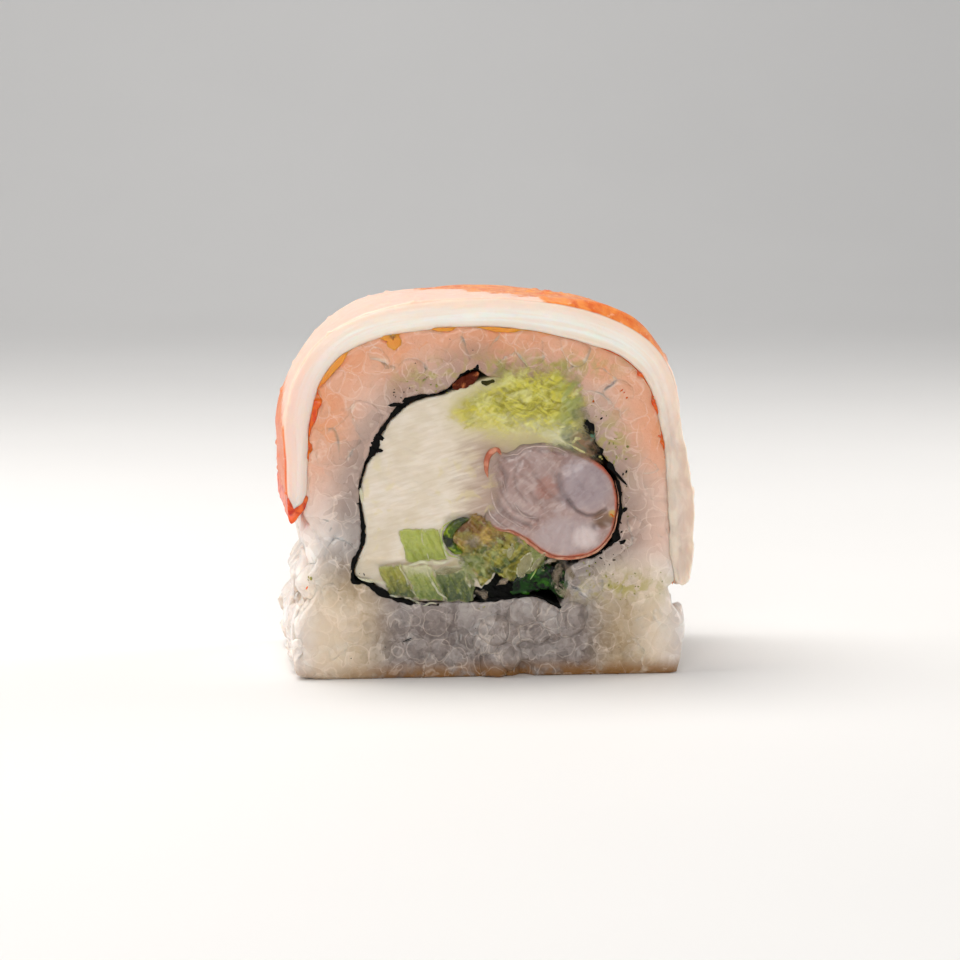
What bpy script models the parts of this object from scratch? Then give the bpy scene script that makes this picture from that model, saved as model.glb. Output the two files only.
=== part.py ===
"""A slice of an inside-out sushi roll with a sheet of crab stick draped over its top.

The slice stands on its flat underside with its roll axis along Y, so that both
knife faces (front at -Y, back at +Y) show the filling. X is the width and Z the
height. The origin is the middle of the underside. Outlines are drawn in
millimetres on the XZ plane and become metres when a mesh is made.
"""
import math
import random

import bmesh
import bpy
import numpy as np

MM = 0.001

# The slice as a whole
SLICE_LENGTH = 24.0
HALF_LENGTH = SLICE_LENGTH / 2
GAP = 0.3
CUTTER_REACH = 2.5
BLOCK_HEIGHT = 40.0
BLOCK_WIDTH = 44.0
CURVE_STEPS = 20
SHADE_ANGLE = 45.0

# The filling leans sideways and turns a little on its way to the back face
FILLING_CENTRE = (0.0, 18.0)
FILLING_TURN = 5.0
FILLING_DRIFT = (-0.5, 0.4)

# Sheet of crab stick over the top: x, z and thickness along its middle line
SHEET_LINE = (
    (-18.35, 17.2, 1.3),
    (-18.4, 21.0, 2.1),
    (-18.3, 25.2, 2.6),
    (-17.1, 29.3, 2.4),
    (-13.9, 32.7, 2.4),
    (-8.2, 34.6, 2.5),
    (0.5, 35.1, 2.8),
    (7.6, 34.2, 3.2),
    (13.2, 32.2, 3.0),
    (16.4, 28.9, 2.7),
    (17.6, 23.2, 2.1),
    (18.3, 16.2, 2.7),
    (18.25, 9.9, 1.8),
)
SHEET_POINTS = 34
SHEET_WAVE = 0.14
SHEET_WAVES = 2.3
SHEET_STATIONS = 4

# Seaweed sheet round the filling, from the lower end of its turn to the upper one
SEAWEED_THICKNESS = 0.5
SEAWEED_LINE = (
    (8.3, 6.1),
    (4.4, 7.5),
    (-0.6, 7.2),
    (-5.2, 7.0),
    (-8.8, 7.5),
    (-13.1, 9.8),
    (-12.1, 13.6),
    (-12.4, 18.5),
    (-10.6, 23.4),
    (-7.7, 26.7),
    (-4.1, 28.1),
    (-0.6, 29.9),
    (4.2, 29.9),
    (7.4, 28.0),
    (9.0, 24.3),
    (12.0, 19.8),
    (12.8, 15.6),
    (11.3, 12.0),
    (8.0, 10.9),
)
SEAWEED_POINTS = 42
SEAM_POINTS = 2
FILLING_STATIONS = 2

# Rice round the filling: outer outline of the core, clear of the sheet above it
RICE_CORE = (
    (-15.2, 0.0),
    (-16.9, 2.2),
    (-17.3, 6.0),
    (-17.2, 12.0),
    (-17.2, 18.0),
    (-17.4, 25.0),
    (-16.2, 29.0),
    (-12.6, 32.0),
    (-7.0, 33.4),
    (0.0, 33.8),
    (6.6, 33.0),
    (12.6, 30.8),
    (15.8, 27.2),
    (16.6, 21.0),
    (16.8, 14.0),
    (16.7, 8.0),
    (16.7, 3.5),
    (15.2, 0.0),
)
CORE_POINTS = 36
CORE_RECESS = 1.25

# Rice grains fused to the core
GRAIN_LENGTH = (4.0, 5.8)
GRAIN_WIDTH = (2.5, 3.0)
GRAIN_SIDES = 5
GRAIN_RINGS = ((-0.45, 0.94), (0.45, 0.94))
FACE_SPACING = 2.75
FACE_REGION = ((-19.0, 19.0), (0.6, 34.0))
FACE_DEPTH = (0.45, 1.0)
FACE_TILT = 28.0
SIDE_SPACING = 2.9
SIDE_REACH = 10.6
SIDE_LOWEST = 1.0
SIDE_SCATTER = 0.25
SIDE_TILT = 25.0
SIDE_TOP = {-1: 17.5, 1: 9.5}
SIDE_OUTER = {-1: -17.7, 1: 17.3}
SIDE_BULGE = {-1: 0.3, 1: 0.15}
EDGE_START = 15.0
EDGE_ROUND = 0.16
END_START = 8.0
END_ROUND = 0.12
FOOT_HEIGHT = 3.0
FOOT_ROUND = 1.2
GRAIN_TRIES = 6000
GRAIN_SEED = 5

# Fillings, as outlines on the front face
CHEESE_OUTLINE = (
    (-0.3, 28.6),
    (-5.0, 28.6),
    (-10.5, 25.5),
    (-13.5, 19.0),
    (-13.0, 14.0),
    (-13.8, 9.5),
    (-10.8, 8.2),
    (-8.9, 11.2),
    (-5.0, 11.6),
    (-2.6, 15.4),
    (0.2, 16.2),
    (0.5, 19.6),
    (-0.9, 24.0),
)
AVOCADO_OUTLINE = (
    (-3.5, 25.0),
    (-1.9, 27.2),
    (0.8, 29.2),
    (4.2, 30.0),
    (7.6, 28.2),
    (9.6, 25.0),
    (11.0, 21.6),
    (7.0, 21.4),
    (3.0, 21.4),
    (-0.2, 22.3),
    (-1.8, 23.4),
)
SHRIMP_OUTLINE = (
    (-0.4, 22.2),
    (1.7, 21.7),
    (4.0, 22.6),
    (6.8, 22.0),
    (9.6, 20.7),
    (11.6, 18.6),
    (12.1, 15.6),
    (11.0, 12.7),
    (8.0, 11.7),
    (5.4, 12.4),
    (3.0, 13.9),
    (0.6, 14.6),
    (0.2, 17.2),
    (-0.3, 19.8),
)
SHRIMP_LOBES = ((9.1, 18.5, 3.4), (3.6, 18.6, 3.3), (6.7, 13.9, 3.4))
CREASE_DEPTH = 1.1
CREASE_START = 0.75
CREASE_WIDTH = 0.8
GREEN_LEAF_OUTLINE = (
    (-4.2, 13.4),
    (-3.4, 15.1),
    (-1.0, 15.8),
    (1.8, 14.4),
    (4.6, 12.6),
    (5.2, 10.8),
    (3.4, 8.9),
    (0.8, 7.2),
    (-1.0, 8.6),
    (-1.3, 11.2),
    (-3.2, 11.8),
)
DARK_LEAF_LINE = (
    (2.2, 8.9),
    (4.2, 8.7),
    (5.7, 10.2),
    (6.6, 10.5),
    (6.3, 8.9),
    (7.2, 7.8),
    (8.6, 7.2),
)
DARK_LEAF_THICKNESS = 0.75
DARK_LEAF_POINTS = 16
CUCUMBER_SQUARE = (-6.45, 12.8, 4.5, 3.3)
CUCUMBER_STRIPS = ((-9.1, 9.3, 2.5, 3.1), (-6.4, 9.2, 2.7, 3.6), (-3.1, 9.1, 3.2, 3.5))
CUCUMBER_CORNER = 0.7
CUCUMBER_LEAN = 6.0
CORNER_TURNS = (0, 45, 90)
OUTLINE_POINTS = {"shrimp": 28, "avocado": 22, "green_leaf": 22, "cream_cheese": 24}

# Ends of the fillings: share of the outline and depth behind the knife face
END_RINGS = ((0.94, 0.25), (0.6, 0.0))
SHRIMP_END_RINGS = ((0.96, 0.45), (0.76, 0.05), (0.4, 0.0))
END_RECESS = 0.15
END_LENGTH = 1.0

COLOURS = {
    "rice": ((0.80, 0.74, 0.67), 0.45),
    "sheet": ((0.93, 0.72, 0.58), 0.40),
    "seaweed": ((0.015, 0.022, 0.012), 0.45),
    "cheese": ((0.82, 0.76, 0.62), 0.55),
    "avocado": ((0.56, 0.55, 0.16), 0.45),
    "shrimp": ((0.50, 0.36, 0.33), 0.38),
    "cucumber": ((0.36, 0.42, 0.14), 0.35),
    "green leaf": ((0.20, 0.24, 0.06), 0.42),
    "dark leaf": ((0.022, 0.05, 0.012), 0.38),
}


def clear_scene():
    for item in list(bpy.data.objects):
        bpy.data.objects.remove(item, do_unlink=True)


def finish_material(name):
    """A Principled surface with the colour and roughness of one sort of food."""
    colour, roughness = COLOURS[name]
    material = bpy.data.materials.new(name)
    material.use_nodes = True
    shader = material.node_tree.nodes["Principled BSDF"]
    shader.inputs["Base Color"].default_value = (*colour, 1.0)
    shader.inputs["Roughness"].default_value = roughness
    shader.inputs["Metallic"].default_value = 0.0
    return material


def smooth_curve(knots, count, closed):
    """Evenly spaced points on a Catmull-Rom curve through the knots."""
    knots = np.array(knots, dtype=float)
    if closed:
        line = np.vstack([knots[-1:], knots, knots[:2]])
    else:
        line = np.vstack([2 * knots[:1] - knots[1:2], knots, 2 * knots[-1:] - knots[-2:-1]])
    share = np.linspace(0.0, 1.0, CURVE_STEPS, endpoint=False)[:, None]
    spans = []
    for a, b, c, d in zip(line, line[1:], line[2:], line[3:]):
        bend = (2 * a - 5 * b + 4 * c - d) * share ** 2
        twist = (3 * b - a - 3 * c + d) * share ** 3
        spans.append(0.5 * (2 * b + (c - a) * share + bend + twist))
    dense = np.vstack(spans + [line[-2:-1]])
    steps = np.linalg.norm(np.diff(dense[:, :2], axis=0), axis=1)
    along = np.concatenate([[0.0], np.cumsum(steps)])
    wanted = np.linspace(0.0, along[-1], count, endpoint=not closed)
    return np.column_stack([np.interp(wanted, along, column) for column in dense.T])


def side_direction(line, closed):
    """Unit vectors at right angles to a line, to the right of its direction."""
    if closed:
        ahead = np.roll(line, -1, axis=0) - np.roll(line, 1, axis=0)
    else:
        ahead = np.gradient(line, axis=0)
    ahead /= np.linalg.norm(ahead, axis=1)[:, None]
    return np.column_stack([ahead[:, 1], -ahead[:, 0]])


def anticlockwise(outline):
    """The outline in the order that puts its right-hand side outside."""
    after = np.roll(outline, -1, axis=0)
    area = np.sum(outline[:, 0] * after[:, 1] - after[:, 0] * outline[:, 1])
    return outline if area > 0 else outline[::-1]


def grown(outline, distance):
    """The outline moved outwards by the distance, or inwards if it is negative."""
    outline = anticlockwise(outline)
    return outline + side_direction(outline, True) * distance


def ribbon_outline(line, thickness):
    """Outline of a strip with the line as its middle and blunt ends."""
    half = np.asarray(thickness).reshape(-1, 1) / 2
    side = side_direction(line, False)
    return anticlockwise(np.vstack([line + side * half, (line - side * half)[::-1]]))


def ribbon_room(line, thickness):
    """Outline of the space that a strip needs: the strip with the gap all round."""
    start = line[:1] + (line[:1] - line[1:2]) * GAP / np.linalg.norm(line[1] - line[0])
    end = line[-1:] + (line[-1:] - line[-2:-1]) * GAP / np.linalg.norm(line[-1] - line[-2])
    thickness = np.concatenate([thickness[:1], thickness, thickness[-1:]]) + 2 * GAP
    return ribbon_outline(np.vstack([start, line, end]), thickness)


def drifted(outline, y):
    """Where the filling's outline has moved to at this distance along the roll."""
    share = (y + HALF_LENGTH) / SLICE_LENGTH
    angle = math.radians(FILLING_TURN) * share
    turn = np.array([[math.cos(angle), -math.sin(angle)], [math.sin(angle), math.cos(angle)]])
    centre = np.array(FILLING_CENTRE)
    return (outline - centre) @ turn.T + centre + np.array(FILLING_DRIFT) * share


def inside(points, outline):
    """True for each point that the closed outline surrounds."""
    points = np.atleast_2d(points)
    result = np.zeros(len(points), dtype=bool)
    for (x0, z0), (x1, z1) in zip(outline, np.roll(outline, -1, axis=0)):
        crosses = (z0 > points[:, 1]) != (z1 > points[:, 1])
        rise = z1 - z0 if z1 != z0 else 1e-12
        reach = x0 + (points[:, 1] - z0) * (x1 - x0) / rise
        result ^= crosses & (points[:, 0] < reach)
    return result


def link_mesh(name, vertices, faces, material):
    """A new object whose vertices are given in millimetres."""
    mesh = bpy.data.meshes.new(name)
    mesh.from_pydata((np.asarray(vertices) * MM).tolist(), [], faces)
    tidy = bmesh.new()
    tidy.from_mesh(mesh)
    bmesh.ops.recalc_face_normals(tidy, faces=tidy.faces)
    tidy.to_mesh(mesh)
    tidy.free()
    if material:
        mesh.materials.append(material)
    piece = bpy.data.objects.new(name, mesh)
    bpy.context.scene.collection.objects.link(piece)
    return piece


def loft(name, rings, material, pointed=False):
    """A closed solid through rings of equal length, each an array of x, y, z."""
    count = len(rings[0])
    vertices = np.vstack(rings)
    faces = []
    for ring in range(len(rings) - 1):
        for step in range(count):
            here = ring * count + step
            beside = ring * count + (step + 1) % count
            faces.append((here, beside, beside + count, here + count))
    if pointed:
        tips = [rings[0].mean(axis=0), rings[-1].mean(axis=0)]
        vertices = np.vstack([vertices, tips])
        front_tip = len(vertices) - 2
        last = (len(rings) - 1) * count
        for step in range(count):
            beside = (step + 1) % count
            faces.append((beside, step, front_tip))
            faces.append((last + step, last + beside, front_tip + 1))
    else:
        faces.append(tuple(range(count))[::-1])
        faces.append(tuple(range(len(vertices) - count, len(vertices))))
    return link_mesh(name, vertices, faces, material)


def at_station(outline, y):
    """The outline as a ring of x, y, z at one distance along the roll."""
    return np.column_stack([outline[:, 0], np.full(len(outline), y), outline[:, 1]])


def filling_prism(name, outline, reach, material=None):
    """The drifting outline carried straight through with flat ends."""
    stations = np.linspace(-reach, reach, FILLING_STATIONS)
    return loft(name, [at_station(drifted(outline, y), y) for y in stations], material)


def domed_filling(name, outline, end_rings, material, crease=None):
    """A filling that runs through the slice, with a slightly domed cut at each end."""
    centre = outline.mean(axis=0)
    knife = HALF_LENGTH - END_RECESS
    rings = []
    for share, depth in reversed(end_rings):
        rings.append((share, depth, -1))
    for y in np.linspace(END_LENGTH - knife, knife - END_LENGTH, FILLING_STATIONS):
        rings.append((1.0, y, 0))
    for share, depth in end_rings:
        rings.append((share, depth, 1))
    solid_rings = []
    for share, place, side in rings:
        flat = centre + (outline - centre) * share
        y = side * (knife - place) if side else place
        ring = at_station(drifted(flat, y), y)
        if side and crease:
            ring[:, 1] -= side * crease(flat)
        solid_rings.append(ring)
    return loft(name, solid_rings, material, pointed=True)


def shrimp_crease(points):
    """How far the cut sinks between the lobes of flesh."""
    nearest = np.full(len(points), np.inf)
    for x, z, radius in SHRIMP_LOBES:
        away = np.hypot(points[:, 0] - x, points[:, 1] - z) / radius
        nearest = np.minimum(nearest, away)
    return CREASE_DEPTH * np.clip(nearest - CREASE_START, 0.0, CREASE_WIDTH)


def rounded_box(centre_x, centre_z, width, height, corner, lean):
    """Outline of a leaning rectangle with round corners."""
    corners = ((1, 1, 0), (-1, 1, 90), (-1, -1, 180), (1, -1, 270))
    points = []
    for side_x, side_z, start in corners:
        for turn in CORNER_TURNS:
            angle = math.radians(start + turn)
            x = side_x * (width / 2 - corner) + corner * math.cos(angle)
            z = side_z * (height / 2 - corner) + corner * math.sin(angle)
            points.append((x, z))
    tilt = math.radians(lean)
    turn = np.array([[math.cos(tilt), -math.sin(tilt)], [math.sin(tilt), math.cos(tilt)]])
    return np.array(points) @ turn.T + np.array([centre_x, centre_z])


def boolean(piece, operation, cutter, solver="EXACT"):
    """Cut or trim the piece by the cutter, which is then removed."""
    modifier = piece.modifiers.new(operation.title(), "BOOLEAN")
    modifier.operation = operation
    modifier.solver = solver
    modifier.object = cutter
    apply_modifiers(piece)
    bpy.data.objects.remove(cutter, do_unlink=True)


def apply_modifiers(piece):
    """Give the object its evaluated mesh."""
    graph = bpy.context.evaluated_depsgraph_get()
    graph.update()
    finished = bpy.data.meshes.new_from_object(piece.evaluated_get(graph))
    piece.modifiers.clear()
    piece.data = finished


def keep_largest_body(piece):
    """Drop loose scraps, and fill sealed hollows by dropping their walls."""
    work = bmesh.new()
    work.from_mesh(piece.data)
    seen = set()
    bodies = []
    for start in work.verts:
        if start in seen:
            continue
        body = []
        waiting = [start]
        seen.add(start)
        while waiting:
            vertex = waiting.pop()
            body.append(vertex)
            for edge in vertex.link_edges:
                other = edge.other_vert(vertex)
                if other not in seen:
                    seen.add(other)
                    waiting.append(other)
        bodies.append(body)
    bodies.sort(key=len, reverse=True)
    for body in bodies[1:]:
        bmesh.ops.delete(work, geom=body, context="VERTS")
    work.to_mesh(piece.data)
    work.free()


def shade(piece):
    """Smooth shading with sharp edges kept."""
    piece.data.shade_smooth()
    piece.data.set_sharp_from_angle(angle=math.radians(SHADE_ANGLE))


def sheet_outline(shift):
    """Cut face of the draped sheet; the shift moves its waves along the roll."""
    line = smooth_curve(SHEET_LINE, SHEET_POINTS, False)
    along = np.linspace(0.0, 1.0, SHEET_POINTS)
    wave = SHEET_WAVE * np.sin(2 * math.pi * (SHEET_WAVES * along + shift))
    return ribbon_outline(line[:, :2], line[:, 2] + wave * np.sin(math.pi * along))


def make_sheet():
    """The crab stick sheet, thick on top and thinner at both hanging ends."""
    rings = []
    for step, y in enumerate(np.linspace(-HALF_LENGTH, HALF_LENGTH, SHEET_STATIONS)):
        rings.append(at_station(sheet_outline(step / SHEET_STATIONS), y))
    piece = loft("kani_sheet", rings, finish_material("sheet"))
    shade(piece)
    return piece


def sheet_cutter():
    """The sheet and the gap round it, longer than the slice."""
    line = smooth_curve(SHEET_LINE, SHEET_POINTS, False)
    outline = ribbon_room(line[:, :2], line[:, 2] + SHEET_WAVE)
    ends = HALF_LENGTH + CUTTER_REACH
    return loft("sheet cutter", [at_station(outline, -ends), at_station(outline, ends)], None)


def turn_outline(distance):
    """The full turn that the seaweed follows, its seam bridged, grown by the distance."""
    return grown(smooth_curve(SEAWEED_LINE, SEAWEED_POINTS, True), distance)


def make_seaweed():
    """One thin sheet, wound once round the filling with its two ends apart."""
    line = smooth_curve(SEAWEED_LINE, SEAWEED_POINTS, True)[:-SEAM_POINTS]
    outline = ribbon_outline(line, np.full(len(line), SEAWEED_THICKNESS))
    piece = filling_prism("nori", outline, HALF_LENGTH - END_RECESS, finish_material("seaweed"))
    shade(piece)
    return piece


def grain(rng, centre, direction):
    """A short-grain rice grain: blunt ends, five sides, leaning in its direction."""
    length = rng.uniform(*GRAIN_LENGTH)
    width = rng.uniform(*GRAIN_WIDTH)
    flat = rng.uniform(0.85, 1.0)
    along = np.array(direction) / np.linalg.norm(direction)
    helper = np.array([0.0, 0.0, 1.0]) if abs(along[2]) < 0.9 else np.array([1.0, 0.0, 0.0])
    across = np.cross(along, helper)
    across /= np.linalg.norm(across)
    upward = np.cross(across, along)
    roll = rng.uniform(0.0, 2 * math.pi)
    angles = roll + np.arange(GRAIN_SIDES) * 2 * math.pi / GRAIN_SIDES
    rings = []
    for place, size in GRAIN_RINGS:
        reach = np.outer(np.cos(angles), across) + flat * np.outer(np.sin(angles), upward)
        rings.append(centre + along * place * length / 2 + reach * size * width / 2)
    count = GRAIN_SIDES
    vertices = np.vstack(rings + [centre - along * length / 2, centre + along * length / 2])
    low_tip = len(vertices) - 2
    last = (len(GRAIN_RINGS) - 1) * count
    faces = []
    for step in range(count):
        beside = (step + 1) % count
        faces.append((beside, step, low_tip))
        faces.append((last + step, last + beside, low_tip + 1))
        for ring in range(len(GRAIN_RINGS) - 1):
            here = ring * count
            faces.append((here + step, here + beside, here + beside + count))
            faces.append((here + step, here + beside + count, here + step + count))
    return link_mesh("grain", vertices, faces, None)


def spread(rng, spacing, draw, allowed):
    """Random places that keep the spacing from each other."""
    kept = []
    for _ in range(GRAIN_TRIES):
        place = draw(rng)
        if not allowed(place):
            continue
        if all(math.dist(place, other) > spacing for other in kept):
            kept.append(place)
    return kept


def face_grains(rng, side, core, hole):
    """Grains that show on one knife face, between the sheet and the seaweed."""
    knife = side * HALF_LENGTH
    hole = drifted(hole, knife)
    grains = []

    def draw(source):
        return source.uniform(*FACE_REGION[0]), source.uniform(*FACE_REGION[1])

    def allowed(place):
        return inside(place, core)[0] and not inside(place, hole)[0]

    for x, z in spread(rng, FACE_SPACING, draw, allowed):
        tilt = math.radians(rng.uniform(-FACE_TILT, FACE_TILT))
        heading = rng.uniform(0.0, math.pi)
        direction = (
            math.cos(tilt) * math.cos(heading),
            math.sin(tilt),
            math.cos(tilt) * math.sin(heading),
        )
        edge = max(0.0, abs(x) - EDGE_START)
        y = knife - side * (rng.uniform(*FACE_DEPTH) + EDGE_ROUND * edge ** 2)
        grains.append(grain(rng, np.array([x, y, z]), direction))
    return grains


def side_grains(rng, side):
    """Grains that show on one flank below the hanging end of the sheet."""
    top = SIDE_TOP[side]
    grains = []

    def draw(source):
        return source.uniform(-SIDE_REACH, SIDE_REACH), source.uniform(SIDE_LOWEST, top)

    def allowed(place):
        return True

    for y, z in spread(rng, SIDE_SPACING, draw, allowed):
        tilt = math.radians(rng.uniform(-SIDE_TILT, SIDE_TILT))
        heading = rng.uniform(0.0, math.pi)
        direction = (
            math.sin(tilt),
            math.cos(tilt) * math.cos(heading),
            math.cos(tilt) * math.sin(heading),
        )
        foot = FOOT_ROUND * max(0.0, 1.0 - z / FOOT_HEIGHT)
        end = END_ROUND * max(0.0, abs(y) - END_START) ** 2
        bulge = SIDE_BULGE[side] * math.sin(math.pi * min(z / top, 1.0))
        x = SIDE_OUTER[side] + side * (bulge - foot - end + rng.uniform(-SIDE_SCATTER, SIDE_SCATTER))
        grains.append(grain(rng, np.array([x, y, z]), direction))
    return grains


def make_rice():
    """Pressed rice: a core with whole grains fused to every side that shows."""
    rng = random.Random(GRAIN_SEED)
    core = anticlockwise(smooth_curve(RICE_CORE, CORE_POINTS, True))
    core[:, 1] = np.maximum(core[:, 1], 0.0)
    hole = turn_outline(SEAWEED_THICKNESS / 2 + GAP)
    face = HALF_LENGTH - CORE_RECESS
    stations = np.linspace(-face, face, FILLING_STATIONS)
    rice = loft("rice", [at_station(core, y) for y in stations], finish_material("rice"))

    pieces = bpy.data.collections.new("grains")
    bpy.context.scene.collection.children.link(pieces)
    for side in (-1, 1):
        for piece in face_grains(rng, side, core, hole) + side_grains(rng, side):
            bpy.context.scene.collection.objects.unlink(piece)
            pieces.objects.link(piece)
    union = rice.modifiers.new("Grains", "BOOLEAN")
    union.operation = "UNION"
    union.solver = "EXACT"
    union.use_self = True
    union.operand_type = "COLLECTION"
    union.collection = pieces
    apply_modifiers(rice)
    for piece in list(pieces.objects):
        bpy.data.objects.remove(piece, do_unlink=True)
    bpy.data.collections.remove(pieces)

    boolean(rice, "DIFFERENCE", filling_prism("hole", hole, HALF_LENGTH + CUTTER_REACH))
    boolean(rice, "DIFFERENCE", sheet_cutter())
    block = rounded_box(0.0, BLOCK_HEIGHT / 2, BLOCK_WIDTH, BLOCK_HEIGHT, 0.1, 0.0)
    ends = (-HALF_LENGTH, HALF_LENGTH)
    trim = loft("block", [at_station(block, y) for y in ends], None)
    boolean(rice, "INTERSECT", trim, solver="MANIFOLD")
    keep_largest_body(rice)
    shade(rice)
    return rice


def make_fillings():
    """Every filling, cut back where a neighbour takes the room."""
    knots = {
        "shrimp": SHRIMP_OUTLINE,
        "avocado": AVOCADO_OUTLINE,
        "green_leaf": GREEN_LEAF_OUTLINE,
        "cream_cheese": CHEESE_OUTLINE,
    }
    outlines = {}
    for name, outline in knots.items():
        outlines[name] = smooth_curve(outline, OUTLINE_POINTS[name], True)
    outlines["cucumber_square"] = rounded_box(*CUCUMBER_SQUARE, CUCUMBER_CORNER, CUCUMBER_LEAN)
    for number, strip in enumerate(CUCUMBER_STRIPS, start=1):
        lean = CUCUMBER_LEAN * (2 - number)
        outlines[f"cucumber_strip_{number}"] = rounded_box(*strip, CUCUMBER_CORNER, lean)
    strips = [f"cucumber_strip_{number + 1}" for number in range(len(CUCUMBER_STRIPS))]
    surfaces = {
        "shrimp": "shrimp",
        "avocado": "avocado",
        "green_leaf": "green leaf",
        "cream_cheese": "cheese",
    }
    leaf_line = smooth_curve(DARK_LEAF_LINE, DARK_LEAF_POINTS, False)
    leaf_thickness = np.full(DARK_LEAF_POINTS, DARK_LEAF_THICKNESS)
    leaf_room = ribbon_room(leaf_line, leaf_thickness)
    knife = HALF_LENGTH - END_RECESS
    leaf = ribbon_outline(leaf_line, leaf_thickness)
    shade(filling_prism("dark_leaf", leaf, knife, finish_material("dark leaf")))

    order = ["shrimp", "cucumber_square"] + strips + ["green_leaf", "avocado", "cream_cheese"]
    room = turn_outline(-SEAWEED_THICKNESS / 2 - GAP)
    reach = HALF_LENGTH + CUTTER_REACH
    for place, name in enumerate(order):
        outline = anticlockwise(outlines[name])
        material = finish_material(surfaces.get(name, "cucumber"))
        if name == "cream_cheese":
            piece = filling_prism(name, outline, knife, material)
        elif name == "shrimp":
            piece = domed_filling(name, outline, SHRIMP_END_RINGS, material, shrimp_crease)
        else:
            piece = domed_filling(name, outline, END_RINGS, material)
        boolean(piece, "INTERSECT", filling_prism("room", room, reach))
        for earlier in order[:place]:
            cutter = filling_prism("cutter", grown(outlines[earlier], GAP), reach)
            boolean(piece, "DIFFERENCE", cutter)
        boolean(piece, "DIFFERENCE", filling_prism("cutter", leaf_room, reach))
        keep_largest_body(piece)
        shade(piece)


clear_scene()
make_sheet()
make_seaweed()
make_fillings()
make_rice()
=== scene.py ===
import math

import bpy
import numpy as np
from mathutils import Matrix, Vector


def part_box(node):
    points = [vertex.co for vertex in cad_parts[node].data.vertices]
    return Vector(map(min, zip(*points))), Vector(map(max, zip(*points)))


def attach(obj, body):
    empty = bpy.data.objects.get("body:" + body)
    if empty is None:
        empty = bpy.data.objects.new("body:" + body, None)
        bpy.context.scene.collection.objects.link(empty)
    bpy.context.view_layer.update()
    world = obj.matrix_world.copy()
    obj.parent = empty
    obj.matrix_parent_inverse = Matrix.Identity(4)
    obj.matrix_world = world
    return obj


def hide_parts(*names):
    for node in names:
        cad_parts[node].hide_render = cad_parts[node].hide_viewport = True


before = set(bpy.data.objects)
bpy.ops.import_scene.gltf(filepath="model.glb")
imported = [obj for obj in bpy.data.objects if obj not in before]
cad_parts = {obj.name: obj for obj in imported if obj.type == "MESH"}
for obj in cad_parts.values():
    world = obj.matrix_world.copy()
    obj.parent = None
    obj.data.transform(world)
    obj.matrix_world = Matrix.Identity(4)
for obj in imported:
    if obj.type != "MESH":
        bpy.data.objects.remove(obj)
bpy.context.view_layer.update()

# A slice of inside-out roll seen on its front knife face, at -Y.
# Everything is worked out in millimetres and turned into metres when a mesh is made.
mm = 0.001
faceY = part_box("kani_sheet")[1].y / mm  # half the slice's length
fillingCentre = np.array([0.0, 18.0])  # the filling turns round this point on its way to the back
fillingTurn = math.radians(5.0)
fillingDrift = np.array([-0.5, 0.4])


# Noise

hashSize = 4096
hashTable = np.random.default_rng(31).random(hashSize)
hashPrimes = (73856093, 19349663, 83492791, 2654435761)  # for the three axes and the seed


# random values on a cube lattice, blended between corners with 3t^2 - 2t^3, from -1 to 1
def valueNoise(points, size, seed):
    scaled = points / size
    corner = np.floor(scaled).astype(np.int64)
    part = scaled - corner
    part = part * part * (3 - 2 * part)
    total = np.zeros(points.shape[:-1])
    for dx in (0, 1):
        for dy in (0, 1):
            for dz in (0, 1):
                weight = np.where(dx, part[..., 0], 1 - part[..., 0])
                weight = weight * np.where(dy, part[..., 1], 1 - part[..., 1])
                weight = weight * np.where(dz, part[..., 2], 1 - part[..., 2])
                key = (corner[..., 0] + dx) * hashPrimes[0] ^ (corner[..., 1] + dy) * hashPrimes[1]
                key = key ^ (corner[..., 2] + dz) * hashPrimes[2] ^ seed * hashPrimes[3]
                total += weight * hashTable[key % hashSize]
    return total * 2 - 1


# octaves of value noise, each half the size and half the height of the one before
def cloudNoise(points, size, octaves, seed):
    total = np.zeros(points.shape[:-1])
    for octave in range(octaves):
        total += valueNoise(points, size / 2 ** octave, seed + octave * 17) / 2 ** octave
    return total


# 0 below low, 1 above high, 3t^2 - 2t^3 between; it falls where low is the larger
def smoothStep(low, high, value):
    part = np.clip((value - low) / (high - low), 0, 1)
    return part * part * (3 - 2 * part)


# Curves and outlines

# Catmull-Rom curve through the knots, read off at even steps of its length
def curveThrough(knots, count, closed=False):
    knots = np.array(knots, dtype=float)
    if closed:
        line = np.vstack([knots[-1:], knots, knots[:2]])
    else:
        line = np.vstack([2 * knots[:1] - knots[1:2], knots, 2 * knots[-1:] - knots[-2:-1]])
    share = np.linspace(0, 1, 40, endpoint=False)[:, None]
    spans = []
    for a, b, c, d in zip(line, line[1:], line[2:], line[3:]):
        bend = (2 * a - 5 * b + 4 * c - d) * share ** 2
        twist = (3 * b - a - 3 * c + d) * share ** 3
        spans.append((2 * b + (c - a) * share + bend + twist) / 2)
    dense = np.vstack(spans + [line[-2:-1]])
    along = np.concatenate([[0], np.cumsum(np.linalg.norm(np.diff(dense[:, :2], axis=0), axis=1))])
    wanted = np.linspace(0, along[-1], count, endpoint=not closed)
    return np.column_stack([np.interp(wanted, along, column) for column in dense.T])


# unit vectors at right angles to a line, to the right of its direction
def rightOf(line, closed=False):
    if closed:
        ahead = np.roll(line, -1, axis=0) - np.roll(line, 1, axis=0)
    else:
        ahead = np.gradient(line, axis=0)
    ahead = ahead / np.linalg.norm(ahead, axis=1)[:, None]
    return np.column_stack([ahead[:, 1], -ahead[:, 0]])


# outline in the order that puts its right-hand side outside
def anticlockwise(outline):
    after = np.roll(outline, -1, axis=0)
    area = np.sum(outline[:, 0] * after[:, 1] - after[:, 0] * outline[:, 1])
    return outline if area > 0 else outline[::-1]


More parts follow.
